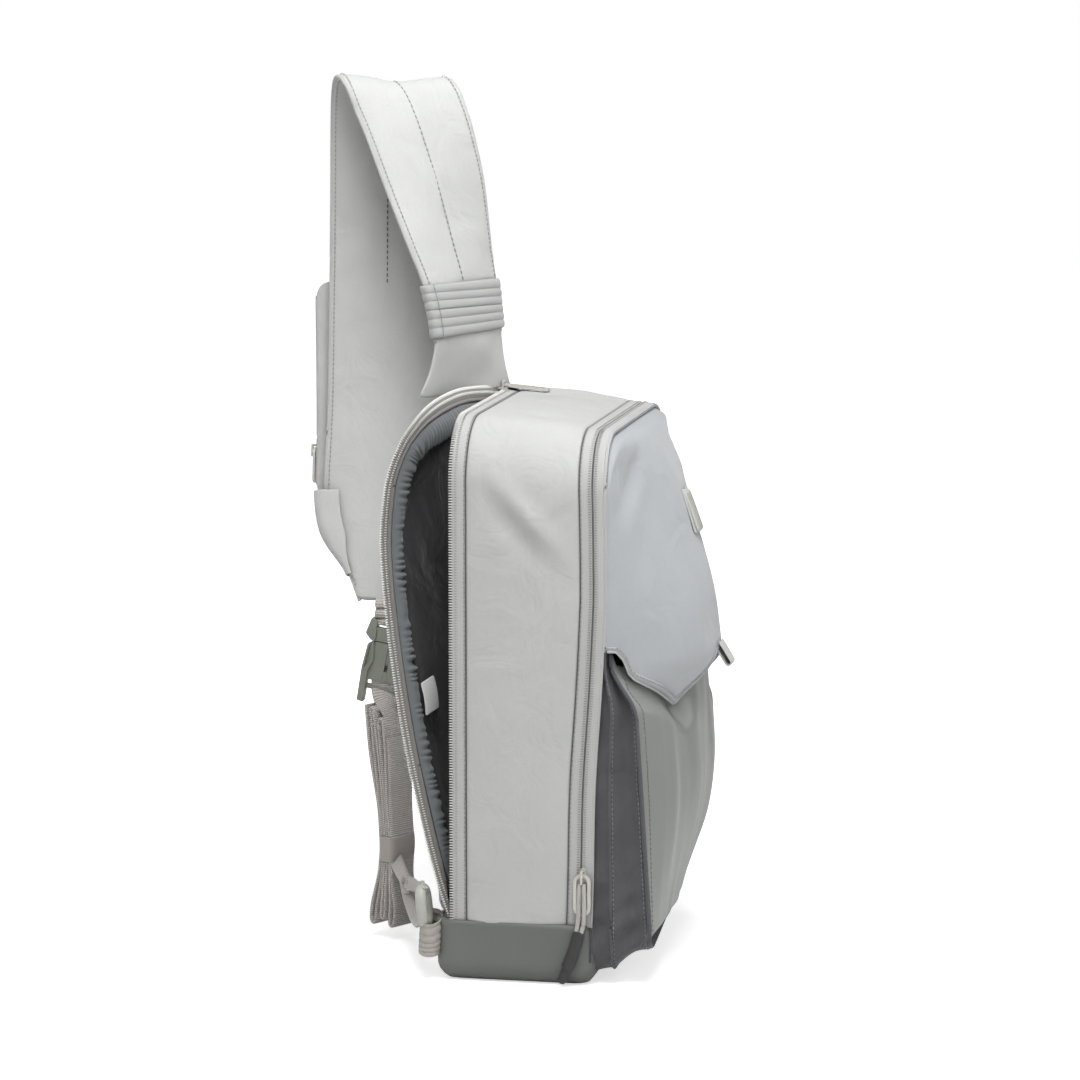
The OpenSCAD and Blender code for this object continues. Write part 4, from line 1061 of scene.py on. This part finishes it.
# ---------- Strap ----------
# centre x, y, z, turn of the width from +X towards -Y in degrees, width, thickness, fall across the width
STRAP = [(30, 79, 423, 28, 110, 5, 0), (29, 77, 446, 26, 91, 6, 0), (28, 76.5, 470, 24.5, 84, 8, 0.03),
         (28, 82, 506, 28, 85, 9, 0.12), (27, 91, 542, 35, 87, 9, 0.1), (27, 101, 582, 46.5, 87, 9, 0.08),
         (27, 109, 609, 53, 87, 9, 0.08), (29, 117.5, 633, 60, 87, 9, 0.1), (34, 127, 651, 68, 87, 9, 0.12),
         (42, 137, 658, 75, 87, 9, 0.1), (52, 143, 650, 79, 87, 9, 0.05), (59, 146, 622, 81, 87, 9, 0.02),
         (62, 147, 565, 82, 88, 9, 0), (59, 147, 500, 83, 89, 9, 0), (46, 146, 410, 85, 89, 8, 0),
         (30, 145, 342, 87, 90, 8, 0), (20, 143, 308, 88, 76, 8, 0), (11, 142, 284, 89, 50, 8, 0),
         (2, 141, 264, 90, 32, 8, 0)]


class Ribbon:
    """Smooth band through the strap's keys: centre, across and outward directions, width and thickness."""

    def __init__(self, keys, n):
        k = resample(spline(keys, 600), count=n)
        self.centre = k[:, :3]
        turn = np.radians(k[:, 3])
        lean = ahead(k)
        flat = np.stack([np.cos(turn), -np.sin(turn), 0 * turn], 1)
        flat = flat - lean * (flat * lean).sum(1, keepdims=True)
        self.across = unit(flat) - np.array([0, 0, 1.0]) * k[:, 6:7]
        self.ahead = lean
        self.out = unit(np.cross(self.across, self.ahead))
        self.width, self.thick = k[:, 4], k[:, 5]

    def part(self, a, b):
        piece = object.__new__(Ribbon)
        for key, value in self.__dict__.items():
            setattr(piece, key, value[a:b])
        return piece

    def at(self, u, lift):
        """Points at share u of the half width and lift times half the thickness."""
        return self.centre + self.across * (self.width / 2)[:, None] * u + self.out * (self.thick / 2)[:, None] * lift


def pad_section(n=44, groove=True):
    """Soft section: flat faces, rounded sides and, if asked, a stitched groove down both faces."""
    angles = np.linspace(0, 2 * math.pi, n, endpoint=False) + 0.0001
    c, s = np.cos(angles), np.sin(angles)
    u = np.sign(c) * np.abs(c) ** 0.55
    lift = np.sign(s) * np.abs(s) ** 0.72
    dip = 0.42 if groove else 0.0
    return u, lift * (1 - dip * np.exp(-(u / 0.05) ** 2))


def padded(name, ribbon, material, seed=0.0, wrinkle=0.5, swell=0.0, groove=True):
    u, lift = pad_section(60, groove)
    pts = (ribbon.centre[:, None] + ribbon.across[:, None] * (ribbon.width / 2 + swell)[:, None, None] * u[None, :, None]
           + ribbon.out[:, None] * (ribbon.thick / 2 + swell)[:, None, None] * lift[None, :, None])
    hold = (1 - np.abs(u) ** 6)[None, :, None]
    pts = pts + ribbon.out[:, None] * ripple(pts, 34, seed, 2)[..., None] * wrinkle * hold * np.sign(lift)[None, :, None] * 2
    n, m = pts.shape[:2]
    faces = grid_faces(n, m, close_v=True) + [tuple(range(m - 1, -1, -1)), tuple(range((n - 1) * m, n * m))]
    obj = build(name, pts.reshape(-1, 3), faces, material, cloth_uv(pts))
    smoothing = obj.modifiers.new("smooth", "SUBSURF")
    smoothing.levels = smoothing.render_levels = 1
    return settle(obj)


def strap():
    ribbon = Ribbon(STRAP, 210)
    z = ribbon.centre[:, 2]
    yoke_n = int(np.argmax(z > 474))
    yoke = ribbon.part(0, yoke_n + 2)
    cover = ribbon.part(yoke_n - 3, len(z))
    piece = padded("strap_yoke_cloth", yoke, LIGHT, seed=4.0, wrinkle=0.9, groove=False)
    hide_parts("strap_yoke", "yoke_foam")
    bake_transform(piece)
    finish_piece(padded("strap_pad", cover, LIGHT, seed=7.0), "strap", "light_cloth", "strap_cover", "strap_foam")
    for side in (-1, 1):
        edge = cover.at(side * 0.995, 0.0)
        finish_piece(tube(f"strap_piping_{'near' if side < 0 else 'far'}", edge, 1.5, TAPE, sides=8), "strap", "light_cloth")
        crown = int(np.argmax(cover.centre[:, 2]))
        stop = 150 if side > 0 else crown + int(np.argmax(cover.centre[crown:, 2] < 505))
        line = cover.at(0, side * 0.8)[6:stop]
        name = "outer" if side > 0 else "inner"
        tone = THREAD if side > 0 else DARK_THREAD
        finish_piece(stitches(f"strap_centre_stitch_{name}", line, cover.out[6:stop] * side, tone, pitch=4.4, length=3.0, width=1.0, lift=0.2), "strap", "light_cloth")
        for face in (-1, 1):
            row = cover.at(side * 0.93, face * 0.66)[4:-4]
            label = f"{'near' if side < 0 else 'far'}_{'outer' if face > 0 else 'inner'}"
            finish_piece(stitches(f"strap_edge_stitch_{label}", row, cover.out[4:-4] * face, THREAD, lift=0.15), "strap", "light_cloth")


def sleeve():
    """Ribbed elastic sleeve at the foot of the strap."""
    ribbon = Ribbon(STRAP, 900)
    z = ribbon.centre[:, 2]
    first, last = int(np.argmax(z > 470)), int(np.argmax(z > 509))
    part = ribbon.part(first, last)
    n = len(part.width)
    walk = np.linspace(0, 6, n) % 1.0
    rib = np.sqrt(np.clip(1 - (2 * walk - 1) ** 2, 0, 1)) * 1.6 + 0.2
    u, lift = pad_section(60, groove=False)
    pts = (part.centre[:, None] + part.across[:, None] * (part.width / 2 + 1.6 + rib * 0.6)[:, None, None] * u[None, :, None]
           + part.out[:, None] * (part.thick / 2 + 1.0 + rib)[:, None, None] * lift[None, :, None])
    sleeve_mesh = grid("ribbed_sleeve", pts, SLEEVE, close_v=True)
    finish_piece(thicken(sleeve_mesh, 0.8, 0), "strap", "tape", "strap_sleeve")
    edge = part.at(-0.93, 1.0) + part.out * 2.2
    finish_piece(stitches("sleeve_stitch", edge, part.out, THREAD, pitch=2.2, length=1.6), "strap", "tape")


def pouch():
    """Phone pocket on the strap's outer face: a rounded pad with a zip down its rear edge."""
    ribbon = Ribbon(STRAP, 210)
    z = ribbon.centre[:, 2]
    picks = np.where((np.arange(len(z)) > 90) & (z < 507) & (z > 338))[0]
    part = ribbon.part(picks[0], picks[-1] + 1)
    n = len(part.width)
    t = np.linspace(0, 1, n)
    round_top = np.sqrt(np.clip(1 - (np.clip(0.09 - t, 0, 1) / 0.09) ** 2, 0, 1))
    round_low = np.sqrt(np.clip(1 - (np.clip(t - 0.93, 0, 1) / 0.07) ** 2, 0, 1))
    fullness = np.minimum(round_top, round_low)
    half = lerp(54, 50.5, t) * (0.76 + 0.24 * fullness)
    depth = 2 + 17 * fullness
    out = part.out * np.sign(part.out[:, :1].mean())
    centre = part.centre + out * (part.thick / 2 + depth / 2 + 0.6)[:, None] + np.array([3, 5, 0])
    u, lift = pad_section(48, groove=False)
    pts = (centre[:, None] + part.across[:, None] * half[:, None, None] * u[None, :, None]
           + out[:, None] * (depth / 2)[:, None, None] * lift[None, :, None])
    pts = pts + out[:, None] * ripple(pts, 50, 31.0, 2)[..., None] * 1.2
    m = pts.shape[1]
    faces = grid_faces(n, m, close_v=True) + [tuple(range(m - 1, -1, -1)), tuple(range((n - 1) * m, n * m))]
    body = build("strap_pouch", pts.reshape(-1, 3), faces, LIGHT, cloth_uv(pts))
    smoothing = body.modifiers.new("smooth", "SUBSURF")
    smoothing.levels = smoothing.render_levels = 1
    finish_piece(settle(body), "strap", "light_cloth", "strap_pocket")
    keep = slice(4, n - 4)
    rear = (centre - part.across * (half + 0.3)[:, None] + out * 4.5)[keep]
    teeth = coil("pouch_zip_teeth", rear, -part.across[keep], out[keep], TEETH, pitch=1.9, start=-1.6, reach=3.2)
    finish_piece(teeth, "strap", "coil", "pocket_zip_coil")
    for side in (-1, 1):
        line = rear + out[keep] * side * 3.4 + part.across[keep] * 0.5
        finish_piece(tube(f"pouch_zip_tape_{'a' if side < 0 else 'b'}", line, 1.0, TAPE, sides=8), "strap", "tape")


def pouch_wing():
    """Fabric gusset that wraps from the pouch's foot round the strap's rear edge."""
    ribbon = Ribbon(STRAP, 400)
    z = ribbon.centre[:, 2]
    picks = np.where((np.arange(len(z)) > 180) & (z < 346) & (z > 282))[0]
    part = ribbon.part(picks[0], picks[-1] + 1)
    t = np.linspace(0, 1, len(part.width))
    flip = np.sign(part.out[:, :1].mean())
    full = 1 - smooth((t - 0.45) / 0.55)
    reach = lerp(9.0, 1.5, 1 - full)
    rows = []
    for a in np.linspace(0, 1, 22):
        angle = math.pi * (0.5 + a)
        over = part.width / 2 - 2 + (4 + reach * 0.75) * max(0.0, -math.cos(angle))
        back = np.where(abs(math.cos(angle)) < 0.25, -10.0 * full, 0.0)
        lift = (5.4 + 2.2 * full) * -math.sin(angle) * flip
        rows.append(part.centre - part.across * (over + back)[:, None] + part.out * -lift[:, None])
    wing = sheet("pouch_foot_gusset", np.stack(rows, 1), LIGHT, 1.2, offset=0.0)
    finish_piece(wing, "strap", "light_cloth")


# ---------- Webbing ----------
def webbing_strip(name, keys, width, thickness, material=None, n=80, rows=8):
    """Flat woven strip: keys are centre x, y, z and the direction of its width."""
    k = resample(spline(keys, 300), count=n)
    across = unit(k[:, 3:6])
    lean = ahead(k)
    across = unit(across - lean * (across * lean).sum(1, keepdims=True))
    pts = np.stack([k[:, :3] + across * width * (j / (rows - 1) - 0.5) for j in range(rows)], 1)
    return sheet(name, pts, material or WEBBING, thickness, levels=1, offset=0.0)


TURN = math.radians(-30)
ACROSS = np.array([math.cos(TURN), math.sin(TURN), 0])
STACK = np.array([-math.sin(TURN), math.cos(TURN), 0])


def bundle_centre(z):
    """Middle of the folded webbing at a height: it leans back above the keeper and below it."""
    y = np.interp(z, [10, 45, 72, 100, 150, 190], [131, 128.5, 126.7, 128.5, 132.5, 136])
    return np.array([-4.0, float(y), z])


def bundle():
    """Folded webbing: layers joined by loops at both ends, pinched where the keeper holds them."""
    layers, pitch = 6, 2.5
    tops = [184, 178, 178, 170, 170, 160]
    path = []
    for i in range(layers):
        low, high = 15 + 5 * ((i + 1) // 2 % 2), tops[i]
        zs = np.linspace(low, high, 26)
        if i % 2 == 0:
            zs = zs[::-1]
        place = (layers - 1) / 2 - i
        for z in zs:
            spread = 1 + 0.95 * smooth((58 - z) / 40) + 0.6 * smooth((z - 96) / 60)
            wobble = 0.5 * math.sin(z / 19 + i * 2.1) * float(smooth(abs(z - 72) / 30))
            path.append(bundle_centre(z) + STACK * (place * pitch * spread + wobble))
        if i < layers - 1:
            end, sign = zs[-1], -1 if i % 2 == 0 else 1
            spread = pitch * (1.93 if sign < 0 else 1.6)
            for a in np.linspace(0, math.pi, 9)[1:-1]:
                offset = (place - 0.5 + 0.5 * math.cos(a)) * spread
                path.append(bundle_centre(end) + STACK * offset + [0, 0, sign * 4.6 * math.sin(a)])
    path = resample(np.array(path), step=2.0)
    points = np.stack([path + ACROSS * 26 * (j / 7 - 0.5) for j in range(8)], 1)
    strip = sheet("folded_webbing", points, WEBBING, 2.6, levels=1, offset=0.0)
    finish_piece(strip, "webbing", "webbing", "webbing_bundle")


def webbing_pieces():
    turn = (math.cos(TURN), math.sin(TURN), 0)
    keys = [(-3, 124, 150, *turn), (-3, 125, 168, 0.86, -0.5, 0), (-3, 129, 182, 0.6, -0.8, 0), (-2, 134, 192, 0.15, -1, 0),
            (-1, 135, 201, 0, -1, 0.1), (-1, 134.5, 206, 0, -1, 0.1)]
    finish_piece(webbing_strip("webbing_lead_strip", keys, 25, 1.9, n=40), "webbing", "webbing", "webbing_lead")
    fold = [(2, 268), (-4, 264), (-4.5, 261), (-1, 259), (-5, 256.5), (-5, 253.5), (-1.5, 251.5), (-4, 249), (-2, 246), (0, 250)]
    keys = [(x, 131.5, z, 0, -1, 0.06) for x, z in fold]
    finish_piece(webbing_strip("webbing_upper_strip", keys, 24, 1.8, n=60), "strap", "webbing", "upper_webbing")
    over = [(-12, 126, 63, 0.2, -0.7, 0.7), (-34, 117.5, 60, 0.1, -0.6, 0.8), (-62, 106, 58, 0, -0.3, 1), (-92, 92, 62, 0, 0.2, 1),
            (-116, 82, 66, 0.2, 0.5, 0.8), (-125, 77.5, 69, 0.7, 0.3, 0.4), (-131, 77, 66, 1, 0, 0.2)]
    finish_piece(webbing_strip("webbing_tail_strip", over, 11, 2.6, n=60), "strap", "webbing", "webbing_tail")
    under = [(-40, 114, 61, 0, -0.7, 0.7), (-64, 105, 49, 0, -0.9, 0.5), (-92, 93.5, 40, 0, -0.9, 0.4), (-114, 85, 39, 0.3, -0.5, 0.7),
             (-126, 80, 44, 0.7, 0, 0.6)]
    finish_piece(webbing_strip("webbing_tail_return", under, 9, 2.4, n=50), "strap", "webbing")
    wrap = np.linspace(0, 2 * math.pi, 40)
    knot = np.stack([-66 + 4.5 * np.cos(wrap), 105 + 3.0 * np.cos(wrap), 57 + 6.5 * np.sin(wrap)], 1)
    finish_piece(tube("webbing_tail_wrap", knot[:-1], 2.3, WEBBING, closed=True, squash=0.8), "strap", "webbing")


def keeper():
    low, high = corners("webbing_keeper")
    angles = np.linspace(0, 2 * math.pi, 64, endpoint=False)
    c, s = np.cos(angles), np.sin(angles)
    u = np.sign(c) * np.abs(c) ** 0.45
    v = np.sign(s) * np.abs(s) ** 0.45
    rings = []
    for k in np.linspace(0, 1, 7):
        middle = bundle_centre(lerp(low[2], high[2], k)) + STACK * -0.4
        rings.append(middle + ACROSS * 14.2 * u[:, None] + STACK * (8.0 + 0.5 * k) * v[:, None] + np.array([0, 0, 0.06]) * 14 * u[:, None])
    band = grid("keeper_band", np.stack(rings, 1), KEEPER, close_u=True)
    finish_piece(thicken(band, 1.6, 1, offset=1.0), "keeper", "webbing", "webbing_keeper")


def anchor():
    """Ribbed sleeve at the bag's lower corner, open in a U where the ring enters it, and the ring."""
    angles = np.linspace(0, 2 * math.pi, 48, endpoint=False)
    c, s = np.cos(angles), np.sin(angles)
    facing = 0.5 - 0.5 * c
    rings = []
    for k in np.linspace(0, 1, 90):
        bead = abs(math.sin(k * 5.5 * math.pi)) ** 0.6
        cap = math.sqrt(max(0.04, 1 - max(0, (0.14 - k) / 0.14) ** 2))
        wide, deep = (9.2 + 1.1 * bead) * cap, (6.6 + 1.1 * bead) * cap
        lift = 17 + 34 * k - 7.5 * facing * smooth(k * 1.6)
        rings.append(np.stack([-126 + wide * c, 73.5 - 1.5 * k + deep * s, lift], 1))
    body = grid("ribbed_anchor", np.stack(rings, 1), KEEPER, close_u=True)
    finish_piece(thicken(body, 1.0, 1), "bag", "tape", "anchor_sleeve")
    x = -126.0
    keys = [(x, 73, 20, 1, 0, 0), (x, 73.5, 28, 1, 0, 0), (x, 74, 34, 1, 0, 0), (x, 76, 45, 1, 0, 0)]
    finish_piece(webbing_strip("anchor_webbing", keys, 13, 1.6, n=40), "bag", "webbing", "anchor_loop")
    around = np.linspace(0, 2 * math.pi, 72, endpoint=False)
    ring_x = np.sign(np.cos(around)) * np.abs(np.cos(around)) ** 0.7 * 9.5
    ring_z = np.sign(np.sin(around)) * np.abs(np.sin(around)) ** 0.8 * 13.0
    ring = np.stack([-126 + ring_x, 77.6 + 0.11 * ring_z, 55 + ring_z], 1)
    level = np.tile([0.0, 1.0, 0.0], (len(ring), 1))
    link = tube("anchor_link", ring, 3.6, PLATE, sides=14, closed=True, squash=1.15, normals=level)
    finish_piece(link, "bag", "plate", "anchor_ring")


# ---------- Buckle and zip pull ----------
BUCKLE_TOP = np.array([129.3, 243.0])
BUCKLE_DOWN = np.array([0.182, -0.983])
BUCKLE_SIDE = np.array([0.983, 0.182])


def buckle_part(name, shapes, body, material, bevel, *nodes):
    """Plates cut from outlines in the buckle's plane: across, down, and front and back faces in X."""
    parts = []
    for outline_points, front, back in shapes:
        flat = [BUCKLE_TOP + BUCKLE_SIDE * u + BUCKLE_DOWN * w for u, w in outline_points]
        n = len(flat)
        points = [(front, *p) for p in flat] + [(back, *p) for p in flat]
        faces = [tuple(range(n)), tuple(range(2 * n - 1, n - 1, -1))]
        faces += [(i, n + i, n + (i + 1) % n, (i + 1) % n) for i in range(n)]
        parts.append((points, faces))
    obj = merge(name, parts, material, flat=True)
    edge = obj.modifiers.new("edges", "BEVEL")
    edge.width = bevel * MM
    edge.segments = 2
    edge.limit_method = "ANGLE"
    settle(obj)
    obj.data.polygons.foreach_set("use_smooth", [True] * len(obj.data.polygons))
    return finish_piece(obj, body, "buckle", *nodes)


def mirrored(points):
    return [(-u, w) for u, w in points[::-1]]


def buckle():
    """Side-release buckle: socket with its side wings and window, and the plug's frame and arms."""
    half_body = [(1.2, 12.6), (14.4, 12.6), (16.4, 16), (17.6, 34.5), (17.0, 43.3), (1.2, 43.3)]
    cap = [(-1.4, 10.5), (1.4, 10.5), (1.4, 17), (-1.4, 17)]
    foot = [(-1.4, 35), (1.4, 35), (1.4, 43.3), (-1.4, 43.3)]
    rear = [(-13, 14), (13, 14), (13, 42), (-13, 42)]
    plates = [(half_body, -4, 1.5), (mirrored(half_body), -4, 1.5), (cap, -4, 1.5), (foot, -4, 1.5), (rear, 0.2, 1.4)]
    rail = [(12.4, 12.6), (14.0, 12.6), (13.0, 28), (17.2, 34.6), (15.8, 42), (13.2, 44), (13.6, 35.6), (10.4, 28.5)]
    wing = [(15.4, 16), (17.2, 15.3), (18.8, 34.5), (18.6, 42.6), (18.2, 60.7), (13.2, 61.4), (13.6, 43), (15.6, 41), (17.0, 34.4)]
    bar = [(-14.5, 47), (14.5, 47), (14.5, 50.5), (-14.5, 50.5)]
    shapes = plates + [(rail, -6.4, 3), (mirrored(rail), -6.4, 3), (wing, -6.2, 3.2), (mirrored(wing), -6.2, 3.2), (bar, -3, 1)]
    buckle_part("buckle_socket_shell", shapes, "webbing", BUCKLE, 0.5, "buckle_socket")
    shoulder = [(12.6, -4.6), (17.6, -5), (20.4, 7.3), (15.6, 12), (11.6, 12.2)]
    top = [(-13.8, -4), (13.8, -4), (13.8, -0.4), (-13.8, -0.4)]
    body = [(-13, 1.6), (13, 1.6), (13, 12.2), (-13, 12.2)]
    tongue = [(-9, 11), (9, 11), (7.5, 30), (-7.5, 30)]
    shapes = [(shoulder, -6, 3), (mirrored(shoulder), -6, 3), (top, -3.6, 0.6), (body, -4.6, 1.6), (tongue, -2.6, -0.6)]
    buckle_part("buckle_plug_frame", shapes, "strap", BUCKLE, 0.5, "buckle_plug", "buckle_arms")


def zip_pull():
    """Doubled cord through the puller's ring, held by a moulded tip."""
    for y, label in ((-1.8, "a"), (1.8, "b")):
        keys = [(-134.6, -44 + y * 0.8, 79), (-135.4, -44 + y, 72), (-135.6, -44 + y * 1.1, 60), (-135.2, -43.5 + y * 1.2, 50),
                (-135.0, -42 + y, 42), (-135, -41 + y * 0.8, 36)]
        strand = tube(f"main_pull_strand_{label}", spline(keys, 40), 1.75, CORD, sides=12)
        finish_piece(strand, "main_pull", "cord", *(("main_pull_cord",) if label == "a" else ()))
    line = spline([(-135, -42, 43), (-135.2, -40.5, 36), (-135.5, -37.5, 26), (-135.8, -34, 17), (-136, -31, 10), (-136, -29, 3)], 60)
    z = line[:, 2]
    radius = np.where(z > 15, 4.6 - 1.2 * np.clip((z - 38) / 5, 0, 1) ** 2, 3.3)
    radius = radius * np.sqrt(np.clip(1 - np.clip((7 - (z - 3)) / 7, 0, 1) ** 6, 0.3, 1))
    level = np.tile([1.0, 0.0, 0.0], (len(line), 1))
    tip = tube("main_pull_end", line, radius, TIP, sides=16, squash=0.62, normals=level)
    finish_piece(tip, "main_pull", "tip", "main_pull_tip")


# ---------- Kept CAD nodes ----------
def dress(material, bevel, *names):
    """Gives CAD nodes their material and softened edges."""
    for name in names:
        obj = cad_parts[name]
        for index in range(max(1, len(obj.material_slots))):
            if not obj.material_slots:
                obj.data.materials.append(material)
            obj.material_slots[index].link = "OBJECT"
            obj.material_slots[index].material = material
        if bevel:
            edge = obj.modifiers.new("edges", "BEVEL")
            edge.width = bevel * MM
            edge.segments = 3
            edge.limit_method = "ANGLE"


# ---------- Stage ----------
SKY = 0.2
# name, place in metres, size in metres and power in watts
LAMPS = [("key", (-2.0, -0.7, 1.4), 1.1, 5), ("front", (0.3, -2.2, 1.5), 1.3, 14), ("top", (-0.6, -0.12, 1.6), 0.8, 19),
         ("rear", (0.6, 2.2, 1.6), 1.4, 11)]


def stage():
    floor = build("floor", [(-6000, -6000, 0), (6000, -6000, 0), (6000, 6000, 0), (-6000, 6000, 0)], [(0, 1, 2, 3)])
    paper, tree, shader = principled("paper")
    shader.inputs["Base Color"].default_value = (0.93, 0.93, 0.93, 1)
    shader.inputs["Roughness"].default_value = 0.9
    shader.inputs["Emission Color"].default_value = (1, 1, 1, 1)
    ray = tree.nodes.new("ShaderNodeLightPath")
    place = tree.nodes.new("ShaderNodeNewGeometry")
    gap = tree.nodes.new("ShaderNodeVectorMath")
    gap.operation = "LENGTH"
    tree.links.new(place.outputs["Position"], gap.inputs[0])
    far = tree.nodes.new("ShaderNodeMapRange")
    far.inputs["From Min"].default_value = 0.3
    far.inputs["From Max"].default_value = 1.2
    far.inputs["To Min"].default_value = 0.6
    far.inputs["To Max"].default_value = 1.0
    tree.links.new(gap.outputs["Value"], far.inputs["Value"])
    glow = math_node(tree, "MULTIPLY", ray.outputs["Is Camera Ray"], far.outputs["Result"])
    tree.links.new(glow, shader.inputs["Emission Strength"])
    floor.data.materials.append(paper)
    world = bpy.data.worlds.new("studio")
    bpy.context.scene.world = world
    world.use_nodes = True
    tree = world.node_tree
    ray = tree.nodes.new("ShaderNodeLightPath")
    seen = math_node(tree, "MULTIPLY", ray.outputs["Is Camera Ray"], 1.0 - SKY)
    tree.links.new(math_node(tree, "ADD", seen, SKY), tree.nodes["Background"].inputs[1])
    tree.nodes["Background"].inputs[0].default_value = (1, 1, 1, 1)
    scene = bpy.context.scene
    scene.view_settings.view_transform = "Standard"
    scene.view_settings.look = "None"
    for name, place, size, power in LAMPS:
        lamp = bpy.data.lights.new(name, "AREA")
        lamp.size = size
        lamp.energy = power
        obj = bpy.data.objects.new(name, lamp)
        bpy.context.scene.collection.objects.link(obj)
        obj.location = place
        obj.rotation_mode = "QUATERNION"
        obj.rotation_quaternion = (Vector((0, 0, 0.3)) - Vector(place)).to_track_quat("-Z", "Y")


def camera():
    lens = bpy.data.cameras.new("camera")
    lens.lens = 143.8
    lens.sensor_width = 36
    lens.clip_end = 50
    obj = bpy.data.objects.new("camera", lens)
    bpy.context.scene.collection.objects.link(obj)
    target = Vector((-2.8, 13.8, 315.5)) * MM
    azimuth, elevation, distance = math.radians(78.7), math.radians(8.65), 3.298
    back = Vector((-math.sin(azimuth) * math.cos(elevation), -math.cos(azimuth) * math.cos(elevation), math.sin(elevation)))
    obj.location = target + back * distance
    obj.rotation_mode = "QUATERNION"
    obj.rotation_quaternion = (-back).to_track_quat("-Z", "Y")
    bpy.context.scene.camera = obj


side_panel()
body_seam_shadows()
main_zip()
base()
front_sheet()
hood_and_flap()
name_plate()
pull_tab()
pocket()
pocket_gusset()
back_and_door()
far_gusset()
door_rim()
elastic_edge()
laptop_zip_body()
inside_lining()
care_label()
strap()
sleeve()
pouch()
pouch_wing()
bundle()
webbing_pieces()
keeper()
anchor()
buckle()
zip_pull()
dress(METAL, 0.3, "main_slider", "main_pull_ring", "laptop_slider", "laptop_pull", "pocket_slider", "pocket_pull")
dress(STEEL, 0.3, "pocket_magnet", "flap_magnet")
dress(BOARD, 0.3, "base_board")
stage()
camera()
